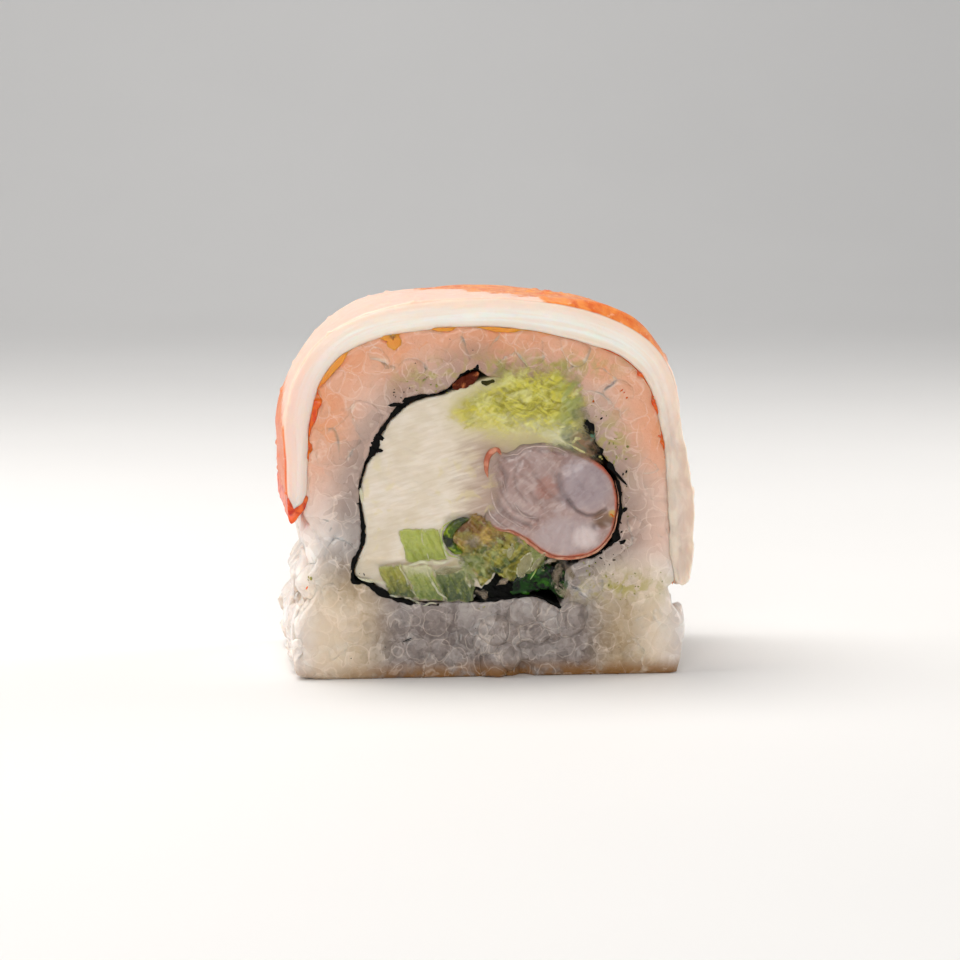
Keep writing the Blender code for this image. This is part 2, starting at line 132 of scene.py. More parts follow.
# True where a ray to the right crosses the outline an odd number of times
def isInside(x, z, outline):
    result = np.zeros(np.shape(x), dtype=bool)
    for (x0, z0), (x1, z1) in zip(outline, np.roll(outline, -1, axis=0)):
        crosses = (z0 > z) != (z1 > z)
        reach = x0 + (z - z0) * (x1 - x0) / (z1 - z0 if z1 != z0 else 1e-9)
        result = result ^ (crosses & (x < reach))
    return result


# distance of each place from one spot
def distanceFrom(places, x, z):
    return np.hypot(places[:, 0] - x, places[:, 1] - z)


# distance of each place from the nearest stretch of a line
def lineDistance(x, z, line):
    nearest = np.full(np.shape(x), 1e9)
    for (x0, z0), (x1, z1) in zip(line, line[1:]):
        dx, dz = x1 - x0, z1 - z0
        share = np.clip(((x - x0) * dx + (z - z0) * dz) / (dx ** 2 + dz ** 2), 0, 1)
        nearest = np.minimum(nearest, np.hypot(x - x0 - share * dx, z - z0 - share * dz))
    return nearest


# a closed line through the corners' neighbourhoods, so that its sides stay straight
def cornered(corners, softness=0.09, count=180):
    corners = np.array(corners)
    after = np.roll(corners, -1, axis=0)
    spots = []
    for share in (softness, 0.5, 1 - softness):
        spots.append(corners * (1 - share) + after * share)
    return curveThrough(np.stack(spots, axis=1).reshape(-1, 2), count, True)


# distance from an outline's centre in each direction, its points sorted by angle
def polarRadius(outline, centre, angles):
    away = outline - centre
    turn = np.arctan2(away[:, 1], away[:, 0])
    order = np.argsort(turn)
    return np.interp(angles, turn[order], np.hypot(*away.T)[order], period=2 * math.pi)


# x and z turned about the filling's centre
def turned(x, z, angle):
    dx, dz = x - fillingCentre[0], z - fillingCentre[1]
    newX = dx * np.cos(angle) - dz * np.sin(angle) + fillingCentre[0]
    newZ = dx * np.sin(angle) + dz * np.cos(angle) + fillingCentre[1]
    return newX, newZ


# a turn about the filling's centre and a shift, both growing evenly from front to back
def drifted(x, z, y):
    share = (y + faceY) / (2 * faceY)
    newX, newZ = turned(x, z, fillingTurn * share)
    return newX + fillingDrift[0] * share, newZ + fillingDrift[1] * share


# the same movement backwards
def undrifted(x, z, y):
    share = (y + faceY) / (2 * faceY)
    return turned(x - fillingDrift[0] * share, z - fillingDrift[1] * share, -fillingTurn * share)


# Meshes

# signed volume of a closed triangle mesh: the sum of a . (b x c) / 6
def meshVolume(points, triangles):
    a, b, c = points[triangles[:, 0]], points[triangles[:, 1]], points[triangles[:, 2]]
    return np.sum(a * np.cross(b, c)) / 6


# triangles between the rows of a grid whose columns close on themselves
def gridTriangles(rows, columns, closedRows=False):
    top = np.arange(rows if closedRows else rows - 1)[:, None] * columns
    below = (top + columns) % (rows * columns)
    here = np.arange(columns)[None, :]
    beside = (here + 1) % columns
    first = np.stack([top + here, top + beside, below + beside], axis=-1)
    second = np.stack([top + here, below + beside, below + here], axis=-1)
    return np.concatenate([first.reshape(-1, 3), second.reshape(-1, 3)])


# fans from two poles to the first and last rows of a grid
def poleTriangles(rows, columns):
    here = np.arange(columns)
    beside = (here + 1) % columns
    firstPole = np.full(columns, rows * columns)
    last = (rows - 1) * columns
    start = np.stack([beside, here, firstPole], axis=-1)
    end = np.stack([last + here, last + beside, firstPole + 1], axis=-1)
    return np.concatenate([start, end])


# grids closed by two poles, one after another: in each the grid's points come first
def closedTriangles(rows, columns, copies=1):
    one = np.concatenate([gridTriangles(rows, columns), poleTriangles(rows, columns)])
    shifts = (rows * columns + 2) * np.arange(copies)[:, None, None]
    return (one[None] + shifts).reshape(-1, 3)


# rays to a sphere's rings and columns, its pole along the third axis, closer at the pole
def sphereRays(rings, columns):
    down = (np.arange(1, rings) / rings) ** 1.15 * math.pi
    turn = np.linspace(0, 2 * math.pi, columns, endpoint=False)
    x = np.sin(down)[:, None] * np.cos(turn)
    y = np.sin(down)[:, None] * np.sin(turn)
    z = np.repeat(np.cos(down)[:, None], columns, axis=1)
    grid = np.stack([x, y, z], axis=-1).reshape(-1, 3)
    return np.vstack([grid, [[0, 0, 1], [0, 0, -1]]])


# a mesh of points in millimetres and triangles, turned to face outwards, with a value for
# each point under each attribute's name
def meshPiece(name, points, triangles, attributes, material, replaced=()):
    if meshVolume(points, triangles) < 0:
        triangles = triangles[:, ::-1]
    mesh = bpy.data.meshes.new(name)
    mesh.vertices.add(len(points))
    mesh.vertices.foreach_set("co", (points * mm).astype(np.float32).ravel())
    mesh.loops.add(len(triangles) * 3)
    mesh.loops.foreach_set("vertex_index", triangles.astype(np.int32).ravel())
    mesh.polygons.add(len(triangles))
    mesh.polygons.foreach_set("loop_start", np.arange(0, len(triangles) * 3, 3, dtype=np.int32))
    mesh.update(calc_edges=True)
    mesh.shade_smooth()
    for label, values in attributes.items():
        layer = mesh.attributes.new(label, "FLOAT", "POINT")
        layer.data.foreach_set("value", np.asarray(values, dtype=np.float32).ravel())
    mesh.materials.append(material)
    piece = bpy.data.objects.new(name, mesh)
    piece.visible_shadow = "fades" not in material  # what thins out at its rim darkens nothing behind it
    bpy.context.scene.collection.objects.link(piece)
    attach(piece, "root")
    if replaced:
        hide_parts(*replaced)
    print(name, len(triangles), "triangles")
    return piece


# a filling that runs through the slice: rings from the front middle out to the rim,
# along the side and in to the back middle; relief is added along Y on both ends, which round
# off towards the rim as a quarter circle does
def fillingPiece(name, outline, options, relief, material, replaced=(), marks=None):
    around, capRings, sideRings = options["around"], options["capRings"], options["sideRings"]
    centre = np.array(options["centre"])
    angles = np.linspace(0, 2 * math.pi, around, endpoint=False)
    radius = polarRadius(outline, centre, angles)
    wobble = np.column_stack([np.cos(angles) * 3, np.sin(angles) * 3, np.full(around, 5.0)])
    radius = radius + options["ragged"] * cloudNoise(wobble, 0.5, 3, options["seed"])
    share = np.sin(np.linspace(0, 1, capRings + 1)[1:] * math.pi / 2)[:, None]
    capX = centre[0] + share * radius * np.cos(angles)
    capZ = centre[1] + share * radius * np.sin(angles)
    inset = (1 - share) * radius
    edge, width = options["edge"], options.get("edgeWidth", options["edge"])
    rounding = edge * (1 - np.sqrt(1 - (1 - np.minimum(inset / width, 1)) ** 2))
    reach = faceY - options["recess"]
    caps = {}
    for side in (-1, 1):
        caps[side] = side * (reach - rounding + relief(capX, capZ, side, inset))
    fade = np.linspace(0, 1, sideRings + 2)[1:-1, None]
    sideY = caps[-1][-1] * (1 - fade) + caps[1][-1] * fade
    rowsX = np.vstack([capX, np.repeat(capX[-1:], sideRings, axis=0), capX[::-1]])
    rowsZ = np.vstack([capZ, np.repeat(capZ[-1:], sideRings, axis=0), capZ[::-1]])
    rowsY = np.vstack([caps[-1], sideY, caps[1][::-1]])
    rowsInset = np.vstack([inset, np.zeros((sideRings, around)), inset[::-1]])
    poleY = [caps[-1][0].mean(), caps[1][0].mean()]
    x = np.concatenate([rowsX.ravel(), [centre[0]] * 2])
    z = np.concatenate([rowsZ.ravel(), [centre[1]] * 2])
    y = np.concatenate([rowsY.ravel(), poleY])
    movedX, movedZ = drifted(x, z, y)
    points = np.column_stack([movedX, y, movedZ])
    attributes = {
        "inset": np.concatenate([rowsInset.ravel(), [radius.mean()] * 2]),
        "flatX": x,
        "flatZ": z,
    }
    if marks:
        attributes.update(marks(x, z))
    return meshPiece(name, points, closedTriangles(len(rowsX), around), attributes, material, replaced)


shoulderBend = {"from": (6.0, 13.0), "to": (14.5, 23.0), "back": 8.0}


# a sheet carried along a path of x, z and thickness: at each step a rounded rectangle
# of that thickness with its long sides along Y, from one knife face to the other
def slabPiece(name, path, options, relief, material, replaced=(), drift=False):
    steps = options["steps"]
    line = curveThrough(path, steps)
    middle, thickness = line[:, :2], line[:, 2]
    side = -rightOf(middle)
    along = np.concatenate([[0], np.cumsum(np.linalg.norm(np.diff(middle, axis=0), axis=1))])
    total = along[-1]
    taper = np.ones(steps)
    for distance, length in ((along, options["startTaper"]), (total - along, options["endTaper"])):
        near = np.clip(distance / length, 0, 1)
        taper = taper * np.sqrt(np.clip(1 - (1 - near) ** 2, 0.0025, 1))
    half = (thickness * taper / 2)[:, None]
    corner = np.minimum(options["corner"], half * 0.9)
    bow = np.linspace(0, math.pi / 2, options["cornerSteps"] + 1)
    leave, arrive = bow[1:], bow[:-1]
    long = np.linspace(-1, 1, options["longSteps"])
    short = np.linspace(1, -1, options["shortSteps"] + 2)[1:-1]
    one, few, turn = np.ones(len(long)), np.ones(len(short)), np.ones(len(leave))
    # one turn round the rectangle: Y share, Y of the corner arc, the same two across the sheet
    stretches = [
        (long, 0 * one, one, one),
        (turn, np.sin(leave), turn, np.cos(leave)),
        (few, few, short, 0 * few),
        (turn, np.cos(arrive), -turn, -np.sin(arrive)),
        (-long, 0 * one, -one, -one),
        (-turn, -np.sin(leave), -turn, -np.cos(leave)),
        (-few, -few, -short, 0 * few),
        (-turn, -np.cos(arrive), turn, np.sin(arrive)),
    ]
    yShare, yArc, tShare, tArc = (np.concatenate(part) for part in zip(*stretches))
    front = np.broadcast_to(options.get("front", -faceY), steps)[:, None]
    back = np.broadcast_to(options.get("back", faceY), steps)[:, None]
    y = (front + back) / 2 + yShare * ((back - front) / 2 - corner) + yArc * corner
    t = tShare * (half - corner) + tArc * corner
    x = middle[:, :1] + side[:, :1] * t
    z = middle[:, 1:] + side[:, 1:] * t
    s = np.broadcast_to(along[:, None], x.shape)
    # both ends wander in and out from front to back
    wander = valueNoise(np.stack([0 * y, y, s * 0.2], axis=-1), 2.2, 145)
    wander = wander + 0.5 * valueNoise(np.stack([0 * y, y, 0 * s], axis=-1), 0.8, 147)
    wander = options.get("wander", 0) * wander * (smoothStep(total - 7, total, s) - smoothStep(5, 0, s))
    x, z = x + side[:, 1:] * wander, z - side[:, :1] * wander
    # at the shoulder, a stretch of its length, the sheet lies lower towards the back
    shoulder = smoothStep(*shoulderBend["from"], s) * (1 - smoothStep(*shoulderBend["to"], s))
    shoulder = options.get("shoulder", 0) * shoulder * smoothStep(-faceY, shoulderBend["back"], y)
    x, z = x - side[:, :1] * shoulder, z - side[:, 1:] * shoulder
    rise = relief(s, y, t / half, tArc, np.stack([x, y, z], axis=-1)) * taper[:, None]
    x = x + side[:, :1] * tArc * rise
    z = z + side[:, 1:] * tArc * rise
    y = y + yArc * rise
    rows, columns = x.shape
    poles = [[part[end].mean() for part in (x, y, z)] for end in (0, -1)]
    points = np.vstack([np.stack([x, y, z], axis=-1).reshape(-1, 3), poles])
    if drift:
        movedX, movedZ = drifted(points[:, 0], points[:, 2], points[:, 1])
        points = np.column_stack([movedX, points[:, 1], movedZ])
    attributes = {
        "along": np.concatenate([s.ravel(), [0, total]]),
        "across": np.concatenate([np.clip(t / half, -1, 1).ravel(), [0, 0]]),
        "outer": np.concatenate([np.broadcast_to(tArc, x.shape).ravel(), [0, 0]]),
    }
    return meshPiece(name, points, closedTriangles(rows, columns), attributes, material, replaced)


# threads lying on the front face: a circle carried along each path of x, z and radius, its
# ends tapered and closed; lift is how far the middle is in front of the knife face
def threadPiece(name, paths, options, material):
    steps, columns = options["steps"], options["columns"]
    turn = np.linspace(0, 2 * math.pi, columns, endpoint=False)
    share = np.linspace(0, 1, steps)
    taper = np.sqrt(np.clip(1 - np.abs(share * 2 - 1) ** options["blunt"], 0.01, 1))
    points = []
    for number, path in enumerate(paths):
        line = curveThrough(path, steps)
        side = rightOf(line[:, :2])
        wobblePlace = np.column_stack([line[:, :2], number * 7.0 + 0 * share])
        wobble = options["wobble"] * cloudNoise(wobblePlace, 1.1, 2, 131)
        radius = line[:, 2] * taper * (1 + 2 * wobble)
        middle = line[:, :2] + side * wobble[:, None]
        x = middle[:, :1] + side[:, :1] * radius[:, None] * np.cos(turn)
        z = middle[:, 1:] + side[:, 1:] * radius[:, None] * np.cos(turn)
        y = -faceY - options["lift"] + radius[:, None] * options["depth"] * np.sin(turn)
        rows = np.stack([x, y, z], axis=-1)
        points += [rows.reshape(-1, 3), rows[[0, -1]].mean(axis=1)]
    triangles = closedTriangles(steps, columns, len(paths))
    return meshPiece(name, np.vstack(points), triangles, {}, material)


# relief for a sheet, of cloud noise alone, whose patches grow along an axis with a small stretch
def lumps(amount, size, octaves, seed, stretch=(1, 1, 1)):
    def relief(s, y, t, outer, points):
        return amount * cloudNoise(points * stretch, size, octaves, seed)
    return relief


# small lumps on the front face, each of x, z and size: spheres stretched and turned at random,
# pushed in and out by noise and squashed along Y
def crumbPiece(name, spots, options, material):
    random = np.random.default_rng(options["seed"])
    spots = np.array(spots)
    count = len(spots)
    rays = sphereRays(options["rings"], options["columns"])
    angle = random.uniform(0, 2 * math.pi, count)[:, None]
    stretch = random.uniform(0.6, 1.5, count)[:, None]
    along, across = rays[:, 0] * stretch, rays[:, 1] / stretch
    x = along * np.cos(angle) - across * np.sin(angle)
    z = along * np.sin(angle) + across * np.cos(angle)
    points = np.stack([x, rays[:, 2] * options["depth"] + 0 * x, z], axis=-1) * spots[:, None, 2:3]
    dents = valueNoise(points + np.arange(count)[:, None, None] * 3.0, 0.45, 133)
    points = points * (1 + 0.35 * dents)[..., None]
    middle = np.column_stack([spots[:, 0], np.full(count, -faceY - options["lift"]), spots[:, 1]])
    points = (points + middle[:, None]).reshape(-1, 3)
    triangles = closedTriangles(options["rings"] - 1, options["columns"], count)
    tone = np.repeat(random.uniform(0, 1, count), len(rays))
    return meshPiece(name, points, triangles, {"tone": tone}, material)


# thin scraps lying on the front face: lenses with a wavy outline; each has x, z, half length,
# half width, its turn in degrees and how far it stands in front of the knife face
def flakePiece(name, flakes, options, material):
    flakes = np.array(flakes)
    count = len(flakes)
    rays = sphereRays(options["rings"], options["columns"])
    angle = np.arctan2(rays[:, 1], rays[:, 0])
    shift = np.arange(count)[:, None] * 5.0 + options["seed"]
    ring = np.stack([np.cos(angle) + shift, np.sin(angle) + shift, 0 * angle + shift], axis=-1)
    jagged = 1 + options["ragged"] * cloudNoise(ring, 0.7, 3, 137)
    along = rays[:, 0] * jagged * flakes[:, 2:3]
    across = rays[:, 1] * jagged * flakes[:, 3:4]
    turn = np.radians(flakes[:, 4:5])
    x = flakes[:, 0:1] + along * np.cos(turn) - across * np.sin(turn)
    z = flakes[:, 1:2] + along * np.sin(turn) + across * np.cos(turn)
    bend = options["bend"] * valueNoise(np.stack([x, shift + 0 * x, z], axis=-1), 1.2, 139)
    y = -faceY - flakes[:, 5:6] + rays[:, 2] * options["depth"] + bend
    points = np.stack([x, y, z], axis=-1).reshape(-1, 3)
    # how far out towards the rim each point is, and 2 on the back, which the material clears away
    rim = np.where(rays[:, 2] > 0.05, 2.0, np.hypot(rays[:, 0], rays[:, 1]))
    attributes = {
        "rim": np.tile(rim, count),
        "tone": np.repeat((np.arange(count) * 0.618) % 1, len(rays)),
    }
    triangles = closedTriangles(options["rings"] - 1, options["columns"], count)
    return meshPiece(name, points, triangles, attributes, material)


# Materials

# a colour given as 0 to 255 screen values, turned into the linear values of a shader
def tint(red, green, blue):
    linear = []
    for value in (red / 255, green / 255, blue / 255):
        linear.append(value / 12.92 if value <= 0.04045 else ((value + 0.055) / 1.055) ** 2.4)
    return (*linear, 1.0)


# the output of a node; + - * / and ** on it add Math nodes
class Sock:
    def __init__(self, finish, socket):
        self.finish = finish
        self.socket = socket

    def maths(self, operation, first, second):
        return self.finish.node("Math", {"operation": operation}, {0: first, 1: second})

    def __add__(self, other):
        return self.maths("ADD", self, other)

    def __radd__(self, other):
        return self.maths("ADD", other, self)

    def __sub__(self, other):
        return self.maths("SUBTRACT", self, other)

    def __rsub__(self, other):
        return self.maths("SUBTRACT", other, self)

    def __mul__(self, other):
        return self.maths("MULTIPLY", self, other)

    def __truediv__(self, other):
        return self.maths("DIVIDE", self, other)

    def __pow__(self, other):
        return self.maths("POWER", self, other)

    def __abs__(self):
        return self.maths("ABSOLUTE", self, 0)


# one material: a Principled shader and the nodes that lead to it
class Finish:
    def __init__(self, name, constants):
        self.material = bpy.data.materials.new(name)
        self.material.use_nodes = True
        self.tree = self.material.node_tree
        self.tree.nodes.clear()
        self.shader = self.tree.nodes.new("ShaderNodeBsdfPrincipled")
        output = self.tree.nodes.new("ShaderNodeOutputMaterial")
        self.tree.links.new(self.shader.outputs[0], output.inputs["Surface"])
        for socket, value in constants.items():
            self.shader.inputs[socket].default_value = value
        self.colour = None  # the socket of the base colour as worked out so far

    # gives a socket a value or a link
    def fill(self, socket, value):
        if isinstance(value, Sock):
            self.tree.links.new(value.socket, socket)
        else:
            socket.default_value = value

    # a node of one kind: its settings first, then the values or links of its sockets
    def node(self, kind, settings=None, sockets=None, output=0):
        node = self.tree.nodes.new("ShaderNode" + kind)
        for name, value in (settings or {}).items():
            setattr(node, name, value)
        for name, value in (sockets or {}).items():
            self.fill(node.inputs[name], value)
        return Sock(self, node.outputs[output])

    # Object coordinates, turned in degrees and then stretched
    def place(self, stretch=(1, 1, 1), turn=(0, 0, 0)):
        here = self.node("TexCoord", output="Object")
        turn = tuple(math.radians(angle) for angle in turn)
        turned = self.node("Mapping", {}, {"Vector": here, "Rotation": turn})
        return self.node("Mapping", {}, {"Vector": turned, "Scale": stretch})

    # soft noise from 0 to 1, about size millimetres from patch to patch
    def noise(self, size, detail, where=None, warp=0.0, roughness=0.5):
        sockets = {
            "Vector": where or self.place(),
            "Scale": 1 / (size * mm),
            "Detail": detail,
            "Distortion": warp,
            "Roughness": roughness,
        }
        return self.node("TexNoise", {"noise_dimensions": "3D"}, sockets)

    # coordinates pushed about by noise of some size, by up to half of amount, both in millimetres
    def warped(self, where, size, amount):
        sockets = {"Vector": where, "Scale": 1 / (size * mm), "Detail": 2.0}
        push = self.node("TexNoise", {"noise_dimensions": "3D"}, sockets, output=1)
        reach = (amount * mm, amount * mm, amount * mm)
        return self.node("VectorMath", {"operation": "MULTIPLY_ADD"}, {0: push, 1: reach, 2: where})

    # 0 below low, 1 above high and smooth between; it falls where low is the larger
    def step(self, value, low, high):
        sockets = {"Value": value, "From Min": low, "From Max": high}
        return self.node("MapRange", {"interpolation_type": "SMOOTHSTEP", "clamp": True}, sockets)

    # 1 in a blot and 0 outside it: a falling step of the squared distance from its middle, to
    # which rough adds noise; x and z are counted from that middle
    def blot(self, x, z, low, high, rough=None):
        away = x ** 2 + z ** 2
        if rough:
            away = away + rough
        return 1 - self.step(away, low, high)

    # the value of a mesh attribute
    def attribute(self, name):
        return self.node("Attribute", {"attribute_name": name}, output="Fac")

    # a colour mixed by a share, on the colour sockets of a Mix node
    def mix(self, share, first, second):
        settings = {"data_type": "RGBA", "blend_type": "MIX", "clamp_factor": True}
        return self.node("Mix", settings, {0: share, 6: first, 7: second}, output=2)

    # lays a tint over the colour worked out so far
    def paint(self, share, red, green, blue):
        self.colour = self.mix(share, self.colour, tint(red, green, blue))

    # the finished material: its colour, roughness, bumps of some distance in metres and alpha
    def surface(self, roughness=None, height=None, distance=0.0001, strength=1.0, alpha=None):
        self.fill(self.shader.inputs["Base Color"], self.colour)
        if alpha is not None:
            # a ray meets the piece or passes it, at random, as often as alpha says
            grain = self.node("TexWhiteNoise", {"noise_dimensions": "3D"}, {"Vector": self.place()})
            met = self.node("Math", {"operation": "LESS_THAN"}, {0: grain, 1: alpha})
            self.fill(self.shader.inputs["Alpha"], met)
            self.material["fades"] = True
        if roughness is not None:
            self.fill(self.shader.inputs["Roughness"], roughness)
        if height is not None:
            sockets = {"Height": height, "Distance": distance, "Strength": strength}
            self.fill(self.shader.inputs["Normal"], self.node("Bump", {}, sockets))
        return self.material


# constants of a wet, slightly see-through food: how deep light goes in millimetres, its share,
# the wet coat's share, the depth's share in red, green and blue, and the roughness
def wetFood(depth, weight, coat, colours, rough):
    return {
        "Roughness": rough,
        "Subsurface Weight": weight,
        "Subsurface Radius": colours,
        "Subsurface Scale": depth * mm,
        "Coat Weight": coat,
        "Coat Roughness": 0.12,
        "IOR": 1.4,
    }


print("kani sheet")

# the sheet's middle line from its left end over the top to its right end: x, z, thickness
sheetPath = [
    (-18.7, 16.5, 0.25), (-18.45, 17.8, 1.8), (-18.4, 21.0, 2.1), (-18.3, 25.2, 2.6), (-17.1, 29.3, 2.5),
    (-13.9, 32.7, 2.5), (-8.2, 34.6, 2.6), (0.5, 35.1, 2.9), (7.6, 34.2, 3.2),
    (13.2, 32.2, 3.0), (16.4, 28.9, 2.7), (17.8, 23.2, 2.1), (18.6, 16.2, 2.6), (18.7, 11.6, 2.3),
    (18.75, 8.5, 1.3),
]
kaniSheet = {
    "steps": 420,
    "longSteps": 56,
    "shortSteps": 26,
    "cornerSteps": 4,
    "corner": 0.3,
    "startTaper": 0.4,
    "endTaper": 0.7,
    "wander": 0.4,
    "waviness": 0.10,
    "fibres": 0.05,
    "nubs": 0.16,
    "swell": 0.88,
    "shoulder": 1.1,
    "swellFrom": (33.8, 43.8),
    "swellTo": (44.3, 51.3),
}


# broad waves, ridges of fibre that run along the sheet, small nubs on the outer side, a
# swelling of that side at the top right that begins just behind the knife face, and a rougher
# right end
def sheetRelief(s, y, t, outer, points):
    waves = kaniSheet["waviness"] * cloudNoise(points, 4.0, 3, 5)
    fibrePoints = np.stack([s * 0.12, y, t * 1.3], axis=-1)
    fibres = kaniSheet["fibres"] * cloudNoise(fibrePoints, 0.5, 3, 8)
    nubs = smoothStep(0.55, 0.9, valueNoise(points, 0.9, 9)) * np.clip(outer, 0, 1)
    behind = smoothStep(0.05, 1.7, y + faceY) * (1 - 0.6 * smoothStep(12.0, 23.0, y + faceY))
    swelling = smoothStep(*kaniSheet["swellFrom"], s) * (1 - smoothStep(*kaniSheet["swellTo"], s))
    swelling = kaniSheet["swell"] * swelling * behind * np.clip(outer, 0, 1)
    rough = 0.10 * smoothStep(46.8, 58.8, s) * cloudNoise(points, 1.1, 3, 10)
    return waves + fibres + kaniSheet["nubs"] * nubs + swelling + rough


# the cut face, with its layers along the sheet, and the outer side, with its orange dye
def kaniMaterial():
    f = Finish("kani stick", wetFood(1.4, 0.75, 0.25, (1.0, 0.6, 0.42), 0.36))
    along, across, outer = f.attribute("along"), f.attribute("across"), f.attribute("outer")
    place = f.place()
    back = f.node("SeparateXYZ", {}, {"Vector": place}, output=1) / mm + faceY
    # the cut face: white inside, cream outside, a grey line at its outer edge on the right,
    # browner towards the right end, with fine lines that follow the sheet
    layerPlace = f.node("CombineXYZ", {}, {0: along * 0.00005, 1: across * 0.002, 2: 0.0})
    layers = f.noise(0.55, 4, layerPlace)
    cut = f.mix(f.step(layers, 0.35, 0.65), tint(254, 236, 222), tint(255, 246, 238))
    cut = f.mix(f.step(across + (layers - 0.5) * 0.5, 0.0, 0.8) * 0.6, cut, tint(244, 216, 198))
    cut = f.mix(f.step(across, -0.4, -0.95) * 0.6, cut, tint(246, 208, 182))
    cut = f.mix((1 - f.step(along, 8.8, 22.8)) * 0.5, cut, tint(244, 208, 196))
    worn = f.noise(1.3, 4, f.place((1.0, 0.6, 0.5)), 0.6)
    worn = f.mix(f.step(worn, 0.36, 0.64), tint(208, 186, 168), tint(230, 214, 196))
    cut = f.mix(f.step(along, 44.8, 60.8) * 0.8, cut, worn)
    edge = f.step(across, 0.8, 0.95) * f.step(along, 30.8, 36.8) * (1 - f.step(along, 52.8, 60.8))
    cut = f.mix(edge * 0.7, cut, tint(186, 158, 136))
    # the outer side: pale pink with orange at the left edge and, from the back, at the top right
    patchPlace = f.place((1, 0.45, 1))
    patches = f.noise(2.2, 5, patchPlace, 0.6, 0.62)
    left = 1 - f.step(along - back * 0.1, 3.5, 11.5)
    reach = along + back * 0.45 + (patches - 0.5) * 9.0 * f.step(back, 0.2, 2.0)
    top = f.step(reach, 34.5, 39.5) * (1 - f.step(along, 47.8, 51.8))
    dyed = f.step(left * 1.1 + top * 0.75 + patches * 0.8, 0.66, 0.98)
    deep = f.noise(0.9, 4, patchPlace, 0.4)
    orange = f.mix(f.step(deep, 0.3, 0.8), tint(242, 150, 66), tint(218, 92, 22))
    orange = f.mix(left * 0.8, orange, tint(214, 90, 8))
    pale = f.mix(f.noise(1.4, 4), tint(240, 192, 168), tint(248, 212, 194))
    pale = f.mix(f.step(along, 47.8, 54.8), pale, tint(246, 230, 214))
    flecks = f.step(f.noise(0.5, 3, patchPlace), 0.60, 0.70)
    skin = f.mix(dyed, pale, orange)
    skin = f.mix(flecks * 0.3, skin, tint(255, 226, 204))
    f.colour = f.mix(f.step(outer, 0.35, 0.75), cut, skin)
    height = f.noise(0.35, 4) * 0.6 + layers * 0.6 + f.noise(0.12, 3) * 0.3
    return f.surface(0.3 + f.noise(1.1, 3) * 0.22, height, 0.00012, 0.5)


slabPiece("kaniSheet", sheetPath, kaniSheet, sheetRelief, kaniMaterial(), ["kani_sheet"])

# the dyed film under the sheet: thin, with wedges that fill the gaps between the grains
# each wedge: x, z, half its width along the sheet, its depth
liningWedges = [
    (-16.6, 26.8, 0.6, 0.6), (-16.8, 25.6, 1.0, 0.45), (-15.0, 30.6, 1.2, 0.5), (-15.8, 29.2, 0.8, 0.3),
    (-9.4, 33.1, 0.8, 0.5), (-9.3, 33.1, 0.3, 1.0), (-17.0, 22.2, 0.35, 0.5), (-4.2, 33.7, 1.0, 0.25),
    (1.3, 33.6, 1.6, 0.3), (14.6, 29.2, 0.25, 0.28), (16.0, 26.4, 0.6, 0.24), (16.6, 22.6, 0.4, 0.26),
]
lining = {
    "steps": 330,
    "longSteps": 14,
    "shortSteps": 6,
    "cornerSteps": 2,
    "corner": 0.08,
    "startTaper": 0.6,
    "endTaper": 0.6,
    "shoulder": 1.1,
    "film": 0.03,
    "back": faceY - 0.3,
}


# the sheet's inner side, and the film's depth there: the sum of its flat-topped wedges
def liningLine():
    line = curveThrough(sheetPath, lining["steps"])
    inward = rightOf(line[:, :2])
    inner = line[:, :2] + inward * line[:, 2:] / 2
    along = np.concatenate([[0], np.cumsum(np.linalg.norm(np.diff(inner, axis=0), axis=1))])
    depth = np.full(len(inner), lining["film"])
    for x, z, width, rise in liningWedges:
        spot = along[np.argmin(distanceFrom(inner, x, z))]
        depth += rise * np.exp(-np.abs((along - spot) / width) ** 3)
    return inner, inward, depth


# dyed film or skin; high is its colour near the slice's top left
def filmMaterial(name, light, dark, glow=(1.0, 0.35, 0.1), high=None):
    f = Finish(name, wetFood(1.2, 0.7, 0.2, glow, 0.35))
    cloud = f.noise(0.8, 4, None, 0.5)
    f.colour = f.mix(f.step(cloud, 0.35, 0.65), light, dark)
    if high:
        x, z = (f.node("SeparateXYZ", {}, {"Vector": f.place()}, output=axis) for axis in (0, 2))
        f.colour = f.mix(f.step(z - x * 0.2, 30.5 * mm, 32.5 * mm) * 0.8, f.colour, high)
    return f.surface(None, f.noise(0.3, 3), 0.0001, 0.3)


innerLine, innerSide, filmDepth = liningLine()
# the film's front edge stands at the knife face at each wedge, and far back low on the right
lining["front"] = -faceY + 0.25 - 0.28 * smoothStep(0.05, 0.2, filmDepth)
lining["front"] += 1.2 * smoothStep(21.5, 19.0, innerLine[:, 1]) * (innerLine[:, 0] > 0)
liningPath = np.column_stack([innerLine + innerSide * filmDepth[:, None] / 2, filmDepth + 0.1])
orangeFilm = filmMaterial("orange film", tint(250, 112, 4), tint(232, 64, 0), high=tint(250, 164, 60))
slabPiece("orangeLining", liningPath, lining, lumps(0.03, 0.8, 2, 14), orangeFilm)

# the flap of film that hangs below the sheet's left end
flapPath = [(-18.2, 18.0, 1.7), (-18.35, 17.0, 1.9), (-18.7, 16.0, 1.2), (-18.95, 15.1, 0.5)]
filmFlap = {
    "steps": 60,
    "longSteps": 60,
    "shortSteps": 10,
    "cornerSteps": 3,
    "corner": 0.15,
    "startTaper": 0.3,
    "endTaper": 0.5,
    "front": -faceY + 0.12,
    "back": faceY - 0.4,
}
redFilm = filmMaterial("red film", tint(240, 110, 34), tint(196, 40, 8))
slabPiece("filmFlap", flapPath, filmFlap, lumps(0.14, 1.4, 3, 21), redFilm)

print("seaweed")

